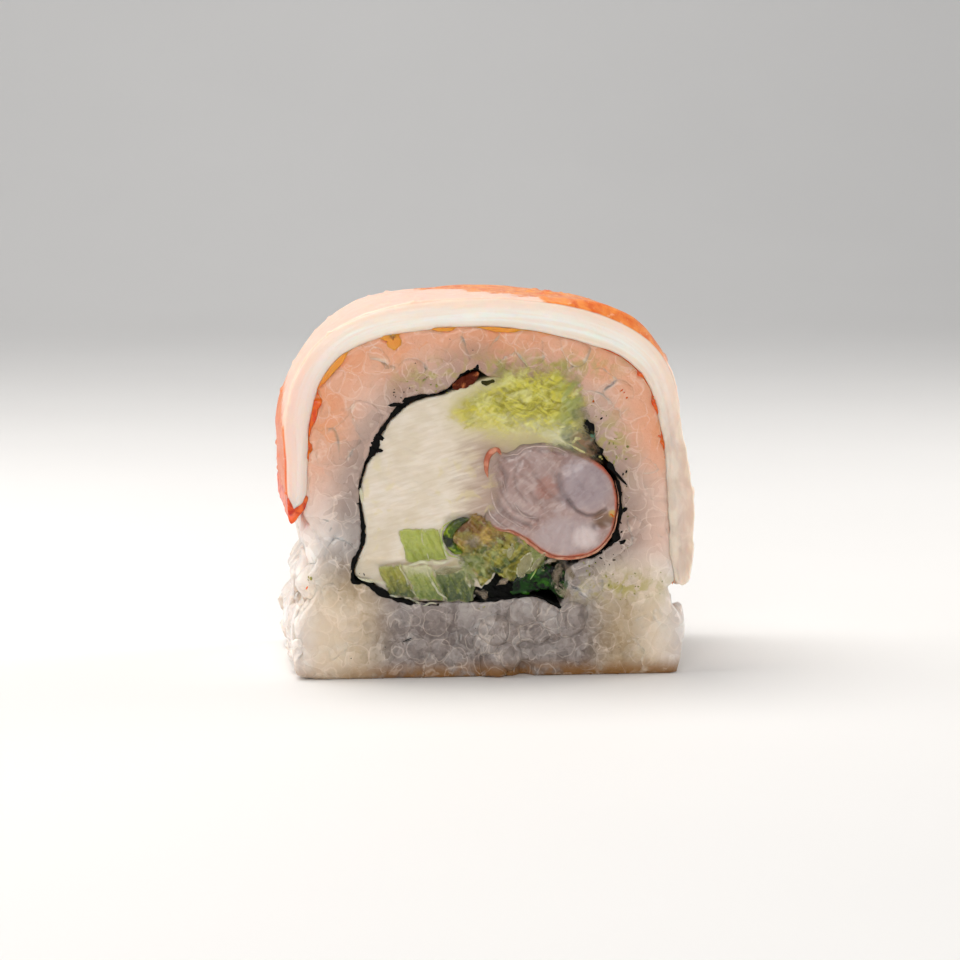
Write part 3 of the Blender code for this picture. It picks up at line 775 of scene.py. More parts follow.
# the sheet of seaweed from its lower right end round to its other end: x, z
noriPath = [
    (8.9, 5.6), (6.6, 6.8), (4.3, 7.75), (-0.6, 7.45), (-5.0, 7.1), (-8.8, 7.6), (-11.4, 9.0), (-13.1, 9.6),
    (-13.0, 11.3), (-12.1, 13.8), (-12.4, 18.6), (-11.2, 22.0), (-10.5, 23.7), (-7.8, 26.8), (-4.6, 27.5),
    (-2.4, 29.3), (-0.8, 29.9), (4.2, 29.5), (7.4, 27.8), (9.6, 24.1), (10.6, 21.8), (12.0, 19.8),
    (12.65, 17.6), (12.65, 15.4), (12.3, 13.6), (11.5, 12.5), (10.3, 11.65), (9.0, 11.2), (7.6, 11.1),
]
# where its cut edge is thicker: x, z, half width, extra thickness
noriBlobs = [
    (-8.2, 26.6, 1.0, 0.6), (-10.8, 22.6, 1.0, 0.9), (-9.3, 25.3, 0.5, 0.3), (-13.0, 10.4, 1.1, 0.3),
    (-10.3, 8.3, 1.0, 0.5), (-1.0, 29.8, 0.45, 0.5), (12.35, 13.5, 0.4, 0.7), (9.7, 24.0, 0.5, 0.6),
    (-12.2, 15.2, 1.0, 0.16), (10.6, 21.8, 0.5, 0.35), (11.6, 20.3, 0.6, 0.3), (2.0, 7.7, 1.0, 0.2),
    (6.2, 7.0, 0.9, 0.25),
]
# where it is torn away at the face: x, z, half width
noriTears = [(-12.4, 17.7, 0.55), (11.1, 21.0, 0.4), (9.2, 11.3, 0.5), (-3.6, 28.2, 0.6), (-3.9, 7.2, 0.8)]
noriSheet = {
    "steps": 900,
    "longSteps": 26,
    "shortSteps": 5,
    "cornerSteps": 2,
    "corner": 0.1,
    "startTaper": 0.6,
    "endTaper": 0.6,
    "thickness": 0.2,
    "hiddenFrom": (-0.7, 29.9),
    "hiddenTo": (9.0, 25.0),
    "hiddenDepth": 1.6,
    "tearDepth": 1.0,
}


# the line round the filling and its ragged thickness, with a bell at each thicker place
def noriLine():
    line = curveThrough(noriPath, noriSheet["steps"])
    places = np.insert(line, 1, 0.0, axis=1)
    rough = cloudNoise(places, 1.1, 4, 41) + 0.5 * cloudNoise(places, 0.35, 2, 44)
    thickness = noriSheet["thickness"] * np.clip(1 + rough, 0.25, 2.8)
    # thinner below the cucumber
    narrow = np.exp(-((line[:, 0] + 4.6) / 3.0) ** 4) * smoothStep(12.0, 9.0, line[:, 1])
    thickness = thickness * (1 - 0.5 * narrow)
    for x, z, width, extra in noriBlobs:
        thickness += extra * np.exp(-(distanceFrom(line, x, z) / width) ** 2)
    return line, thickness


# how far behind the knife face the seaweed's edge is: deep where the avocado smears over it
# and where it is torn
def noriFront(line):
    along = np.arange(len(line))
    first, last = (np.argmin(distanceFrom(line, *noriSheet[end])) for end in ("hiddenFrom", "hiddenTo"))
    hidden = smoothStep(first - 5, first + 5, along) * (1 - smoothStep(last - 5, last + 5, along))
    depth = noriSheet["hiddenDepth"] * hidden
    for x, z, width in noriTears:
        torn = np.exp(-(distanceFrom(line, x, z) / width) ** 4)
        depth = np.maximum(depth, noriSheet["tearDepth"] * torn)
    return -faceY - 0.05 + depth + 0.12 * cloudNoise(np.insert(line, 1, 0.0, axis=1), 0.9, 2, 43)


# dull film between two tints, with a fine grain
def noriMaterial(name, dark, light):
    f = Finish(name, {"Roughness": 0.5, "Specular IOR Level": 0.12, "IOR": 1.45})
    cloud = f.noise(0.7, 4)
    f.colour = f.mix(f.step(cloud, 0.52, 0.78), dark, light)
    return f.surface(0.4 + cloud * 0.3, f.noise(0.2, 4), 0.00012, 0.6)


noriEdge, noriThickness = noriLine()
noriSheet["front"] = noriFront(noriEdge)
noriBlack = noriMaterial("seaweed", tint(2, 2, 1), tint(10, 14, 7))
noriLumps = lumps(0.13, 0.55, 4, 47)
noriSolid = np.column_stack([noriEdge, noriThickness])
slabPiece("noriSheet", noriSolid, noriSheet, noriLumps, noriBlack, ["nori"], drift=True)

# a brown-red scrap of film against the seaweed's upper end, and one olive scrap beside it
noriScrap = {
    "steps": 40, "longSteps": 16, "shortSteps": 8, "cornerSteps": 3, "corner": 0.15,
    "startTaper": 0.3, "endTaper": 0.4, "front": -faceY - 0.12, "back": -faceY + 2.0,
}
filmScrapPath = [(-3.5, 27.9, 0.5), (-2.6, 28.4, 1.05), (-1.7, 28.9, 0.9), (-1.0, 29.4, 0.4)]
brownFilm = noriMaterial("brown film", tint(84, 28, 8), tint(190, 112, 66))
slabPiece("filmScrap", filmScrapPath, noriScrap, noriLumps, brownFilm)
oliveScrapPath = [(-0.8, 28.5, 0.3), (-0.2, 28.4, 0.5), (0.5, 28.6, 0.35)]
oliveFilm = noriMaterial("olive film", tint(52, 48, 16), tint(96, 92, 40))
slabPiece("oliveScrap", oliveScrapPath, noriScrap, noriLumps, oliveFilm)

print("rice")

# the rice's bare sides and bottom, from the sheet's right end round to its left end
riceFlanks = [
    (17.7, 8.6), (17.8, 7.3), (19.0, 5.6), (19.3, 3.8), (19.1, 2.2), (18.7, 0.8), (17.6, -0.3), (8.0, -0.4),
    (0.0, -0.4), (-8.0, -0.4), (-15.8, -0.4), (-18.2, 0.7), (-18.8, 2.8), (-18.9, 5.4),
    (-17.5, 7.6), (-18.2, 9.5), (-17.2, 11.0), (-17.5, 13.2), (-17.9, 15.2), (-17.3, 16.9),
]
riceGrains = {
    "front": 88,
    "back": 78,
    "sides": 108,
    "halfLength": (1.9, 2.6),
    "halfWidth": (1.15, 1.45),
    "depth": (0.75, 1.5),
    "sideDepth": (0.9, 1.35),
    "knifeOffset": 0.14,
    "knifeTilt": 0.03,
    "chunkLength": (1.3, 1.9),
    "chunkWidth": (0.95, 1.3),
    "chunkRise": 1.0,
    "chunkFall": 0.55,
    "chunkRight": (1.8, 4.2),
    "chunkGrey": 0.82,
    "flankOffset": 0.28,
    "swell": 1.45,
    "overlap": 1.2,
    "weight": 0.5,
    "softness": 26.0,
    "neighbours": 16,
    "edgeRadius": 2.2,
    "bareLeft": 15.5,
    "bareRight": 8.4,
    "seed": 77,
}
fieldStep = 0.1
fieldLow = np.array([-22.0, -3.0])
fieldSize = (440, 420)


# distance in millimetres from an outline on a fine grid, above zero inside it
def distanceField(outline):
    x = fieldLow[0] + fieldStep * np.arange(fieldSize[0])[:, None]
    z = fieldLow[1] + fieldStep * np.arange(fieldSize[1])[None, :]
    nearest = np.full(fieldSize, 1e9)
    for start, end in zip(outline, np.roll(outline, -1, axis=0)):
        edge = end - start
        length = max(edge @ edge, 1e-9)
        share = np.clip(((x - start[0]) * edge[0] + (z - start[1]) * edge[1]) / length, 0, 1)
        away = (x - start[0] - share * edge[0]) ** 2 + (z - start[1] - share * edge[1]) ** 2
        nearest = np.minimum(nearest, away)
    sign = np.where(isInside(x + 0 * z, z + 0 * x, outline), 1, -1)
    return np.sqrt(nearest) * sign


# a field's value and its slope, blended between the four grid points round each place
def readField(field, x, z):
    column = np.clip((x - fieldLow[0]) / fieldStep, 0, fieldSize[0] - 2.001)
    row = np.clip((z - fieldLow[1]) / fieldStep, 0, fieldSize[1] - 2.001)
    i, j = column.astype(int), row.astype(int)
    u, v = column - i, row - j
    a, b, c, d = field[i, j], field[i + 1, j], field[i, j + 1], field[i + 1, j + 1]
    value = (a * (1 - u) + b * u) * (1 - v) + (c * (1 - u) + d * u) * v
    slopeX = ((b - a) * (1 - v) + (d - c) * v) / fieldStep
    slopeZ = ((c - a) * (1 - u) + (d - b) * u) / fieldStep
    size = np.maximum(np.hypot(slopeX, slopeZ), 1e-6)
    return value, slopeX / size, slopeZ / size


riceEdge = innerLine + innerSide * (filmDepth[:, None] + 0.05)
riceOutline = anticlockwise(np.vstack([riceEdge[10:-4], curveThrough(riceFlanks, 90)]))
outerField = distanceField(riceOutline)
# the pocket in the rice: the seaweed's line, drawn in over the avocado and at the lower right
ricePocket = noriPath[1:4] + [(-2.6, 7.4), (-3.9, 7.45), (-5.2, 7.15)] + noriPath[5:16] + [
    (-1.2, 29.8), (-0.3, 29.1), (1.6, 28.5), (4.2, 28.3), (7.0, 26.9), (9.5, 24.1), (10.6, 21.8),
    (12.0, 19.8), (12.7, 17.6), (12.65, 15.4), (12.3, 13.6), (11.5, 12.5), (10.3, 11.65), (8.6, 11.0),
    (7.3, 10.0), (7.4, 8.2),
]
noriRoom = curveThrough(ricePocket, 280, True)
roomNoise = cloudNoise(np.insert(noriRoom, 2, 0.0, axis=1), 0.9, 2, 45)
noriRoom += 0.14 * rightOf(noriRoom, True) * roomNoise[:, None]
innerField = distanceField(anticlockwise(noriRoom)) + 0.06


# 1 on the bare sides below the sheet, 0 under it
def bareShare(x, z):
    end = np.where(x < 0, riceGrains["bareLeft"], riceGrains["bareRight"])
    return 1 - smoothStep(end - 1, end + 1, z)


# how far the bare sides draw in towards the knife faces: a quarter round, none at the bottom
def edgeInset(x, z, y):
    radius = riceGrains["edgeRadius"]
    near = np.clip(faceY - np.abs(y), 0, radius)
    rounded = radius - np.sqrt(radius ** 2 - (radius - near) ** 2)
    return rounded * bareShare(x, z) * smoothStep(0.8, 3.4, z)


# evenly strewn places: of many random candidates the one farthest from those already there
def strewn(random, count, candidates, taken):
    places = list(taken)
    for number in range(count):
        options = candidates(random, 60)
        if places:
            away = np.linalg.norm(options[:, None] - np.array(places)[None], axis=2).min(axis=1)
            places.append(options[np.argmax(away)])
        else:
            places.append(options[0])
    return places


# random places near a knife face, clear of the outline and of the seaweed
def faceCandidates(side):
    def candidates(random, count):
        x = random.uniform(-19, 19, count * 6)
        z = random.uniform(0.5, 34, count * 6)
        y = side * (faceY - random.uniform(*riceGrains["depth"], count * 6))
        flatX, flatZ = undrifted(x, z, y)
        room = readField(outerField, x, z)[0] - edgeInset(x, z, y)
        clear = -readField(innerField, flatX, flatZ)[0]
        good = (room > 0.85) & (clear > 0.8) & (z > 1.0)
        return np.column_stack([x, y, z])[good][:count]
    return candidates


# random places a little way in from the rice's bare sides and bottom
def sideCandidates(random, count):
    line = curveThrough(riceFlanks, 400)
    spot = random.integers(8, 392, count * 3)
    depth = random.uniform(*riceGrains["sideDepth"], count * 3)
    inward = rightOf(line)[spot]
    place = line[spot] + inward * depth[:, None]
    inside = readField(outerField, place[:, 0], place[:, 1])[0] > 0.6
    y = random.uniform(-faceY + 2.6, faceY - 2.6, count * 3)
    z = np.maximum(place[:, 1], 1.0)
    return np.column_stack([place[:, 0], y, z])[inside][:count]


# grains pressed together: along each ray from a grain's centre the surface is a little past
# where its own ellipsoid and a neighbour's are equally near, each with a weight added, or
# where a wall is, all joined by a soft minimum; also the neighbours' share in that minimum
def squeezed(mine, local, frames, nearest, everyCentre, everyShape, everyWeight, walls):
    centre, shape, chosen = everyCentre[mine], everyShape[mine], nearest[mine]
    rays = np.einsum("vk,nkj->nvj", local, frames)
    scaled = np.einsum("nij,nvj->nvi", shape, rays)
    rays = rays / np.linalg.norm(scaled, axis=2)[:, :, None]
    power = riceGrains["softness"]
    own = riceGrains["swell"] ** -power
    pressed = np.zeros(rays.shape[:2])
    for near in range(chosen.shape[1]):
        otherShape = everyShape[chosen[:, near]]
        offset = centre - everyCentre[chosen[:, near]]
        towards = np.einsum("nij,nvj->nvi", otherShape, rays)
        apart = np.einsum("nij,nj->ni", otherShape, offset)
        a = np.sum(towards ** 2, axis=2)
        b = np.einsum("nvi,ni->nv", towards, apart)
        c = np.sum(apart ** 2, axis=1) + everyWeight[chosen[:, near]] - everyWeight[mine]
        c = np.maximum(c, 0.3)[:, None]
        inside = b ** 2 + (1 - a) * c
        below = np.sqrt(np.maximum(inside, 0)) - b
        reach = np.where((inside > 0) & (below > 1e-6), c / np.maximum(below, 1e-6), 50.0)
        pressed += np.maximum(reach * riceGrains["overlap"], 0.15) ** -power
    walled = np.zeros(rays.shape[:2])
    for normal, room in walls:
        facing = np.einsum("nvj,nj->nv", rays, normal)
        reach = np.maximum(room, 0.2)[:, None] / np.maximum(facing, 1e-6)
        walled += np.minimum(reach, 50.0) ** -power
    length = (own + pressed + walled) ** (-1 / power)
    share = pressed / (own + pressed + walled)
    return centre[:, None] + rays * length[:, :, None], share


# a square frame round each given direction
def framesRound(direction):
    helper = np.where(np.abs(direction[:, 2:]) < 0.8, [[0.0, 0.0, 1.0]], [[1.0, 0.0, 0.0]])
    first = np.cross(helper, direction)
    first = first / np.linalg.norm(first, axis=1)[:, None]
    second = np.cross(direction, first)
    return np.stack([first, second, direction], axis=1)


# a matrix for each grain that turns and scales its ellipsoid into a unit sphere
def riceShapes(random, outward, lengths, widths):
    count = len(outward)
    tilt = random.normal(size=(count, 3))
    tilt = tilt - 0.35 * np.sum(tilt * outward, axis=1)[:, None] * outward
    axis = tilt / np.linalg.norm(tilt, axis=1)[:, None]
    frames = framesRound(axis)
    length = random.uniform(*lengths, count)
    width = random.uniform(*widths, (count, 2))
    sizes = np.column_stack([width, length])
    return frames / sizes[:, :, None]


# what each grain is pressed against: the knife face, the outer outline, the seaweed, the floor
# and the slanting edge between the first two, as a direction and the room in it
def riceWalls(random, centre, proud):
    x, y, z = centre.T
    outX, slopeX, slopeZ = readField(outerField, x, z)
    bare = bareShare(x, z)
    bulge = random.uniform(-0.6, 1.0, len(centre)) * riceGrains["flankOffset"] * bare
    zero = np.zeros(len(centre))
    side = np.sign(y)
    offset = random.uniform(0, 1, len(centre)) ** 1.5 * riceGrains["knifeOffset"]
    face = faceY - np.abs(y) + proud - offset
    tilt = random.normal(0, riceGrains["knifeTilt"], (len(centre), 2))
    outerNormal = np.column_stack([-slopeX, zero, -slopeZ])
    outerRoom = outX + bulge
    flatX, flatZ = undrifted(x, z, y)
    inner, innerX, innerZ = readField(innerField, flatX, flatZ)
    radius = riceGrains["edgeRadius"]
    chamfer = np.column_stack([-slopeX, side, -slopeZ]) / math.sqrt(2)
    chamferRoom = (outerRoom + face - radius * (2 - math.sqrt(2))) / math.sqrt(2)
    chamferRoom = np.where((bare > 0.5) & (z > 2.4), chamferRoom, 40.0)
    return [
        (np.column_stack([tilt[:, 0], side, tilt[:, 1]]), face),
        (outerNormal, outerRoom),
        (np.column_stack([innerX, zero, innerZ]), -inner),
        (np.column_stack([zero, zero, -1 + zero]), z - 0.02),
        (chamfer, chamferRoom),
    ]


# grains torn loose by the knife that stand a little proud of the face: x, z
riceChunk = [
    (0.5, 1.0), (0.2, 2.9), (1.5, 2.2), (0.6, 4.7), (2.4, 4.3), (4.3, 4.4), (6.2, 5.0), (3.3, 6.0),
    (5.3, 6.3), (8.0, 5.6),
]
# pits and slits in the knife face: x, z, half width, half height, depth
ricePits = [
    (3.4, 0.5, 1.0, 1.3, 1.3), (-0.25, 5.15, 0.55, 0.14, 0.9), (-7.9, 3.7, 0.5, 0.12, 0.5),
    (-0.95, 2.0, 0.22, 2.4, 0.7),
]


# one lot of grains: its groups press on one another, and each has its number of grains, whether
# it lies on a knife face, and its rings and columns
def riceLot(random, places, groups, lengths, widths, proud):
    centres = np.array(places)
    x, y, z = centres.T
    kind = np.repeat(np.arange(len(groups)), [count for count, face, rings, columns in groups])
    facing = np.array([face for count, face, rings, columns in groups])[kind]
    slope = readField(outerField, x, z)
    sideways = np.column_stack([-slope[1], 0 * x, -slope[2]])
    forward = np.column_stack([0 * x, np.sign(y), 0 * x])
    outward = np.where(facing[:, None], forward, sideways)
    shapes = riceShapes(random, outward, lengths, widths)
    walls = riceWalls(random, centres, proud)
    tone = random.uniform(0, 1, len(centres))
    weight = riceGrains["weight"] * random.uniform(-1, 1, len(centres))
    apart = np.linalg.norm(centres[:, None] - centres[None], axis=2)
    nearest = np.argsort(apart, axis=1)[:, 1:riceGrains["neighbours"] + 1]
    frames = framesRound(outward)
    lot = {"points": [], "triangles": [], "tone": [], "pressed": []}
    start = 0
    for group, (count, face, rings, columns) in enumerate(groups):
        mine = np.flatnonzero(kind == group)
        rays = sphereRays(rings, columns)
        myWalls = [(normal[mine], room[mine]) for normal, room in walls]
        points, share = squeezed(mine, rays, frames[mine], nearest, centres, shapes, weight, myWalls)
        lot["triangles"].append(start + closedTriangles(rings - 1, columns, len(mine)))
        lot["points"].append(points.reshape(-1, 3))
        lot["pressed"].append(share.ravel())
        lot["tone"].append(np.repeat(tone[mine], len(rays)))
        start += len(rays) * len(mine)
    return {label: np.concatenate(parts) for label, parts in lot.items()}


# strews and presses the grains of both faces and the sides, adds the loose ones over them, which
# stand out less and carry more painted shade to the right, and keeps all between the outline and the seaweed
def makeRice(material):
    random = np.random.default_rng(riceGrains["seed"])
    places = strewn(random, riceGrains["front"], faceCandidates(-1), [])
    places = strewn(random, riceGrains["back"], faceCandidates(1), places)
    places = strewn(random, riceGrains["sides"], sideCandidates, places)
    groups = [
        (riceGrains["front"], True, 20, 24),
        (riceGrains["back"], True, 16, 18),
        (riceGrains["sides"], False, 14, 18),
    ]
    whole = riceLot(random, places, groups, riceGrains["halfLength"], riceGrains["halfWidth"], 0.0)
    places = np.insert(np.array(riceChunk), 1, -faceY + 0.8, axis=1)
    rightward = smoothStep(*riceGrains["chunkRight"], places[:, 0])
    rise = riceGrains["chunkRise"] * (1 - riceGrains["chunkFall"] * rightward)
    groups = [(len(places), True, 18, 22)]
    chunk = riceLot(random, places, groups, riceGrains["chunkLength"], riceGrains["chunkWidth"], rise)
    chunk["triangles"] = chunk["triangles"] + len(whole["points"])
    lot = {label: np.concatenate([whole[label], chunk[label]]) for label in whole}
    points = pitted(insideRice(lot["points"]))
    relief = np.stack([cloudNoise(points + shift, 0.9, 2, 61) for shift in (0.0, 40.0, 80.0)], axis=-1)
    points = points + relief * (0.035 + 0.05 * bareShare(points[:, 0], points[:, 2])[:, None])
    attributes = riceTints(points)
    attributes["tone"], attributes["pressed"] = lot["tone"], lot["pressed"]
    # the loose grains get less of the painted shade, least on the left, where they stand out most
    start, least = len(whole["points"]), riceGrains["chunkGrey"]
    rightward = smoothStep(*riceGrains["chunkRight"], points[start:, 0])
    attributes["grey"][start:] *= least + (1 - least) * rightward
    return meshPiece("riceGrains", points, lot["triangles"], attributes, material, ["rice"])


# moves what is outside the rice's outline, or inside the seaweed's, back to its edge
def insideRice(points):
    x, y, z = points.T
    for turn in range(2):
        room, slopeX, slopeZ = readField(outerField, x, z)
        push = np.maximum(edgeInset(x, z, y) - 0.55 * bareShare(x, z) - room, 0)
        x, z = x + slopeX * push, z + slopeZ * push
        flatX, flatZ = undrifted(x, z, y)
        inner, slopeX, slopeZ = readField(innerField, flatX, flatZ)
        push = np.maximum(inner, 0)
        x, z = x - slopeX * push, z - slopeZ * push
    return np.column_stack([x, y, np.maximum(z, 0.02)])


# moves the front face back in each pit, as far as an upturned bowl is high there
def pitted(points):
    x, y, z = points.T
    for centreX, centreZ, halfWidth, halfHeight, depth in ricePits:
        away = ((x - centreX) / halfWidth) ** 2 + ((z - centreZ) / halfHeight) ** 2
        near = smoothStep(-faceY + 2.5, -faceY + 0.5, y)
        y = y + depth * np.maximum(1 - away, 0) * near
    return np.column_stack([x, y, z])


# tints by place: warm under the sheet, partly dye from the sheet and partly painted light that
# comes through the orange sheet; grey as painted shade beside the seaweed and low in the middle;
# brown along the bottom edge, green beside the avocado and at the lower right, ochre low down
# on both sides of the middle
def riceTints(points):
    x, y, z = points.T
    room = readField(outerField, x, z)[0]
    flatX, flatZ = undrifted(x, z, y)
    clear = -readField(innerField, flatX, flatZ)[0]
    high = smoothStep(12.0, 24.0, z)
    # warm: partly dye from the sheet, partly painted light that comes through the orange sheet
    warm = high * (0.5 + 0.5 * (1 - smoothStep(0.5, 6.0, room)))
    warm = np.maximum(warm, 0.5 * smoothStep(9.0, 13.0, x) * smoothStep(9.0, 14.0, z))
    # grey: painted shade beside the seaweed, stronger lower down, and low in the middle, less on the back
    # face
    beside = (1 - smoothStep(0.3, 4.4, clear)) * (0.6 + 0.28 * (1 - smoothStep(8.0, 26.0, z)))
    middle = smoothStep(-16.2, -9.0, x) * (1 - smoothStep(12.5, 16.5, x))
    low = (1 - smoothStep(4.0, 14.0, z)) * middle * np.where(y < 0, 1.0, 0.6)
    grey = np.maximum(beside, low)
    brown = (1 - smoothStep(0.2, 2.0, z)) * (0.45 + 0.55 * smoothStep(-16.0, -6.0, x))
    topGreen = np.exp(-((x - 4.0) / 7.0) ** 2 - ((z - 30.0) / 1.1) ** 2)
    leftGreen = 0.7 * np.exp(-((x + 5.5) / 3.2) ** 2 - ((z - 28.8) / 1.2) ** 2)
    sideGreen = np.exp(-((x - 11.6) / 1.9) ** 2 - ((z - 22.0) / 3.0) ** 2)
    lowGreen = np.exp(-((x - 12.5) / 4.5) ** 2 - ((z - 8.6) / 1.3) ** 2)
    green = np.clip(topGreen + leftGreen + 0.9 * sideGreen + 0.9 * lowGreen, 0, 1)
    ochre = smoothStep(19.0, 15.5, np.abs(x)) * smoothStep(8.5, 13.0, np.abs(x)) * smoothStep(13.0, 8.0, z)
    return {"warm": warm, "grey": np.clip(grey, 0, 1), "brown": brown, "green": green, "ochre": ochre}


# translucent grains pressed together, tinted by place; the tints hold painted shade and painted light
# through the sheet, and the shells paint shading across each grain
def riceMaterial():
    f = Finish("rice grain", wetFood(0.28, 0.7, 0.3, (1.0, 0.8, 0.65), 0.34))
    tone, pressed, place = f.attribute("tone"), f.attribute("pressed"), f.place((1.0, 0.6, 1.0))
    low = 1 - f.step(f.node("SeparateXYZ", {}, {"Vector": f.place()}, output=2), 8 * mm, 13 * mm)
    cloud = f.noise(1.3, 4, None, 0.4)
    # pressed grains: cells with bent borders and round corners, each of its own tone, and clear
    # shells over them that pale towards a thin rim, which paint shading across each grain and a painted
    # highlight at its rim
    large = {"Vector": f.warped(f.warped(place, 2.4, 0.9), 0.8, 0.4), "Scale": 1 / (2.3 * mm)}
    cell = f.node("SeparateXYZ", {}, {"Vector": f.node("TexVoronoi", {}, large, output=1)})
    border = f.node("TexVoronoi", {"feature": "DISTANCE_TO_EDGE"}, large)
    corner = 0.56 - f.node("TexVoronoi", {}, large)
    room = f.node("Math", {"operation": "SMOOTH_MIN"}, {0: border, 1: corner, 2: 0.12})
    shell = f.node("Math", {"operation": "FRACT"}, {0: f.noise(2.8, 2, place, 0.5) * 4})
    # small crumbs that the knife broke off
    small = {"Vector": f.warped(f.warped(place, 1.6, 0.7), 0.5, 0.3), "Scale": 1 / (1.3 * mm)}
    crumb = f.node("SeparateXYZ", {}, {"Vector": f.node("TexVoronoi", {}, small, output=1)})
    f.colour = f.mix(tone * 0.2 + cell * 0.45 + shell * 0.35, tint(210, 196, 186), tint(252, 247, 242))
    f.paint(f.step(cloud, 0.3, 0.75) * 0.4, 214, 204, 198)
    # painted light through the orange sheet, partly the sheet's own dye
    f.paint(f.attribute("warm") * (0.78 + cell * 0.22), 231, 162, 120)
    # painted shade beside the seaweed and low in the middle
    f.paint(f.attribute("grey") * (1.0 - cell * 0.17 - shell * 0.12 - tone * 0.1), 104, 88, 82)
    mottle = f.noise(0.6, 4, place, 0.8)
    crumbTone = crumb + (cloud - 0.5)
    f.paint(low * f.step(crumbTone, 0.5, 1.1) * f.attribute("grey") * 0.4, 180, 170, 164)
    f.paint(low * f.step(crumbTone, 0.5, -0.1) * f.attribute("grey") * 0.35, 88, 78, 74)
    f.paint(low * f.step(mottle, 0.5, 0.7) * f.attribute("grey") * 0.4, 190, 180, 174)
    f.paint(low * f.step(mottle, 0.48, 0.3) * f.attribute("grey") * 0.4, 82, 72, 68)
    patches = f.noise(1.6, 4)
    f.paint(f.attribute("ochre") * (0.2 + cloud * 0.3), 232, 198, 132)
    f.paint(f.attribute("brown") * f.step(patches, 0.24, 0.5) * 0.92, 148, 100, 36)
    f.paint(f.attribute("green") * f.step(f.noise(1.1, 4, None, 0.8), 0.42, 0.62), 176, 164, 84)
    rim = f.step(pressed, 0.04, 0.3) * (1 - f.step(pressed, 0.85, 1.0))
    lines = (1 - f.step(abs(room - 0.02), 0.0, 0.035)) * f.step(f.noise(2.0, 3), 0.34, 0.56)
    lines = lines + f.step(shell, 0.86, 0.97) * f.step(f.noise(1.7, 3), 0.46, 0.6) * 0.8
    fine = 1 - f.step(abs(f.noise(0.9, 3, place, 0.8) - 0.5), 0.0, 0.022)
    fine = fine * f.step(f.noise(1.3, 3), 0.48, 0.62)
    lines = lines + fine * (0.1 + low * 0.3)
    # pale grain outlines: partly the grains' own skin, partly painted highlight where their edges catch the
    # light
    f.paint(rim * 0.3 + lines * 0.26, 255, 238, 222)
    # each crumb a small dome
    dome = (1 - f.node("TexVoronoi", {}, small)) * (0.2 + low * 0.9)
    height = f.noise(0.45, 3) + f.noise(0.15, 3) * 0.5 + shell * 0.5 + f.step(room, -0.05, 0.2) * 0.6
    height = height + dome + mottle * low
    return f.surface(0.2 + cloud * 0.24, height, 0.00016, 0.5)


riceWhite = riceMaterial()
makeRice(riceWhite)

riceCore = {
    "around": 260,
    "frontRows": 30,
    "backRows": 10,
    "sideRows": 14,
    "bareInset": 0.8,
    "bottomInset": 0.3,
    "sheetInset": -0.25,
    "noriInset": 0.08,
    "highInset": 0.05,
    "lumps": 0.05,
}


# the rice behind the grains: a ring whose section is a rounded rectangle, between the
# seaweed's line and the outer outline, both read at each angle about the filling
def makeCore(material):
    angles = np.linspace(0, 2 * math.pi, riceCore["around"], endpoint=False)
    outer = polarRadius(riceOutline, fillingCentre, angles)
    outerX = fillingCentre[0] + outer * np.cos(angles)
    outerZ = fillingCentre[1] + outer * np.sin(angles)
    bare, flank = bareShare(outerX, outerZ), smoothStep(1.0, 4.0, outerZ)
    bareInset = riceCore["bottomInset"] * (1 - flank) + riceCore["bareInset"] * flank
    outer = outer - riceCore["sheetInset"] * (1 - bare) - bareInset * bare
    inner = polarRadius(noriRoom, fillingCentre, angles) + riceCore["noriInset"]
    front, back, side = riceCore["frontRows"], riceCore["backRows"], riceCore["sideRows"]
    shares = [np.linspace(0, 1, front), np.ones(side), np.linspace(1, 0, back), np.zeros(side)]
    shares = np.concatenate(shares)
    between = np.linspace(-1, 1, side + 2)[1:-1]
    depth = np.concatenate([-np.ones(front), between, np.ones(back), -between])
    radius = inner[:, None] * (1 - shares) + outer[:, None] * shares
    x = fillingCentre[0] + radius * np.cos(angles)[:, None]
    z = np.maximum(fillingCentre[1] + radius * np.sin(angles)[:, None], 0.02)
    inset = riceCore["highInset"] * smoothStep(8.0, 15.0, z)
    inset = inset + 0.3 * smoothStep(0.9, 1.0, shares) + 0.1 * (1 - smoothStep(0.0, 0.04, shares))
    y = depth * (faceY - inset)
    points = np.stack([x, y, z], axis=-1)
    points[..., 1] += riceCore["lumps"] * cloudNoise(points, 1.6, 3, 71) * np.sign(y)
    rows, columns = x.shape
    points = pitted(points.reshape(-1, 3))
    attributes = riceTints(points)
    attributes["tone"] = 0.5 + 0.5 * cloudNoise(points, 2.0, 2, 73)
    attributes["pressed"] = np.zeros(len(points))
    triangles = gridTriangles(rows, columns, closedRows=True)
    return meshPiece("riceCore", points, triangles, attributes, material, ["rice"])


makeCore(riceWhite)

print("fillings")


# noise drawn out into streaks along a direction in the face, at a slope in degrees
def streaks(x, z, side, slope, length, width, seed):
    angle = math.radians(slope)
    along = (x * math.cos(angle) + z * math.sin(angle)) / length
    across = (z * math.cos(angle) - x * math.sin(angle)) / width
    return cloudNoise(np.stack([along, across, 0 * x + side * 9.0], axis=-1), 1.0, 3, seed)


# cloud noise in the plane of a knife face, another pattern on each face
def faceClouds(x, z, side, size, seed):
    return cloudNoise(np.stack([x, 0 * x + side * 5, z], axis=-1), size, 3, seed)


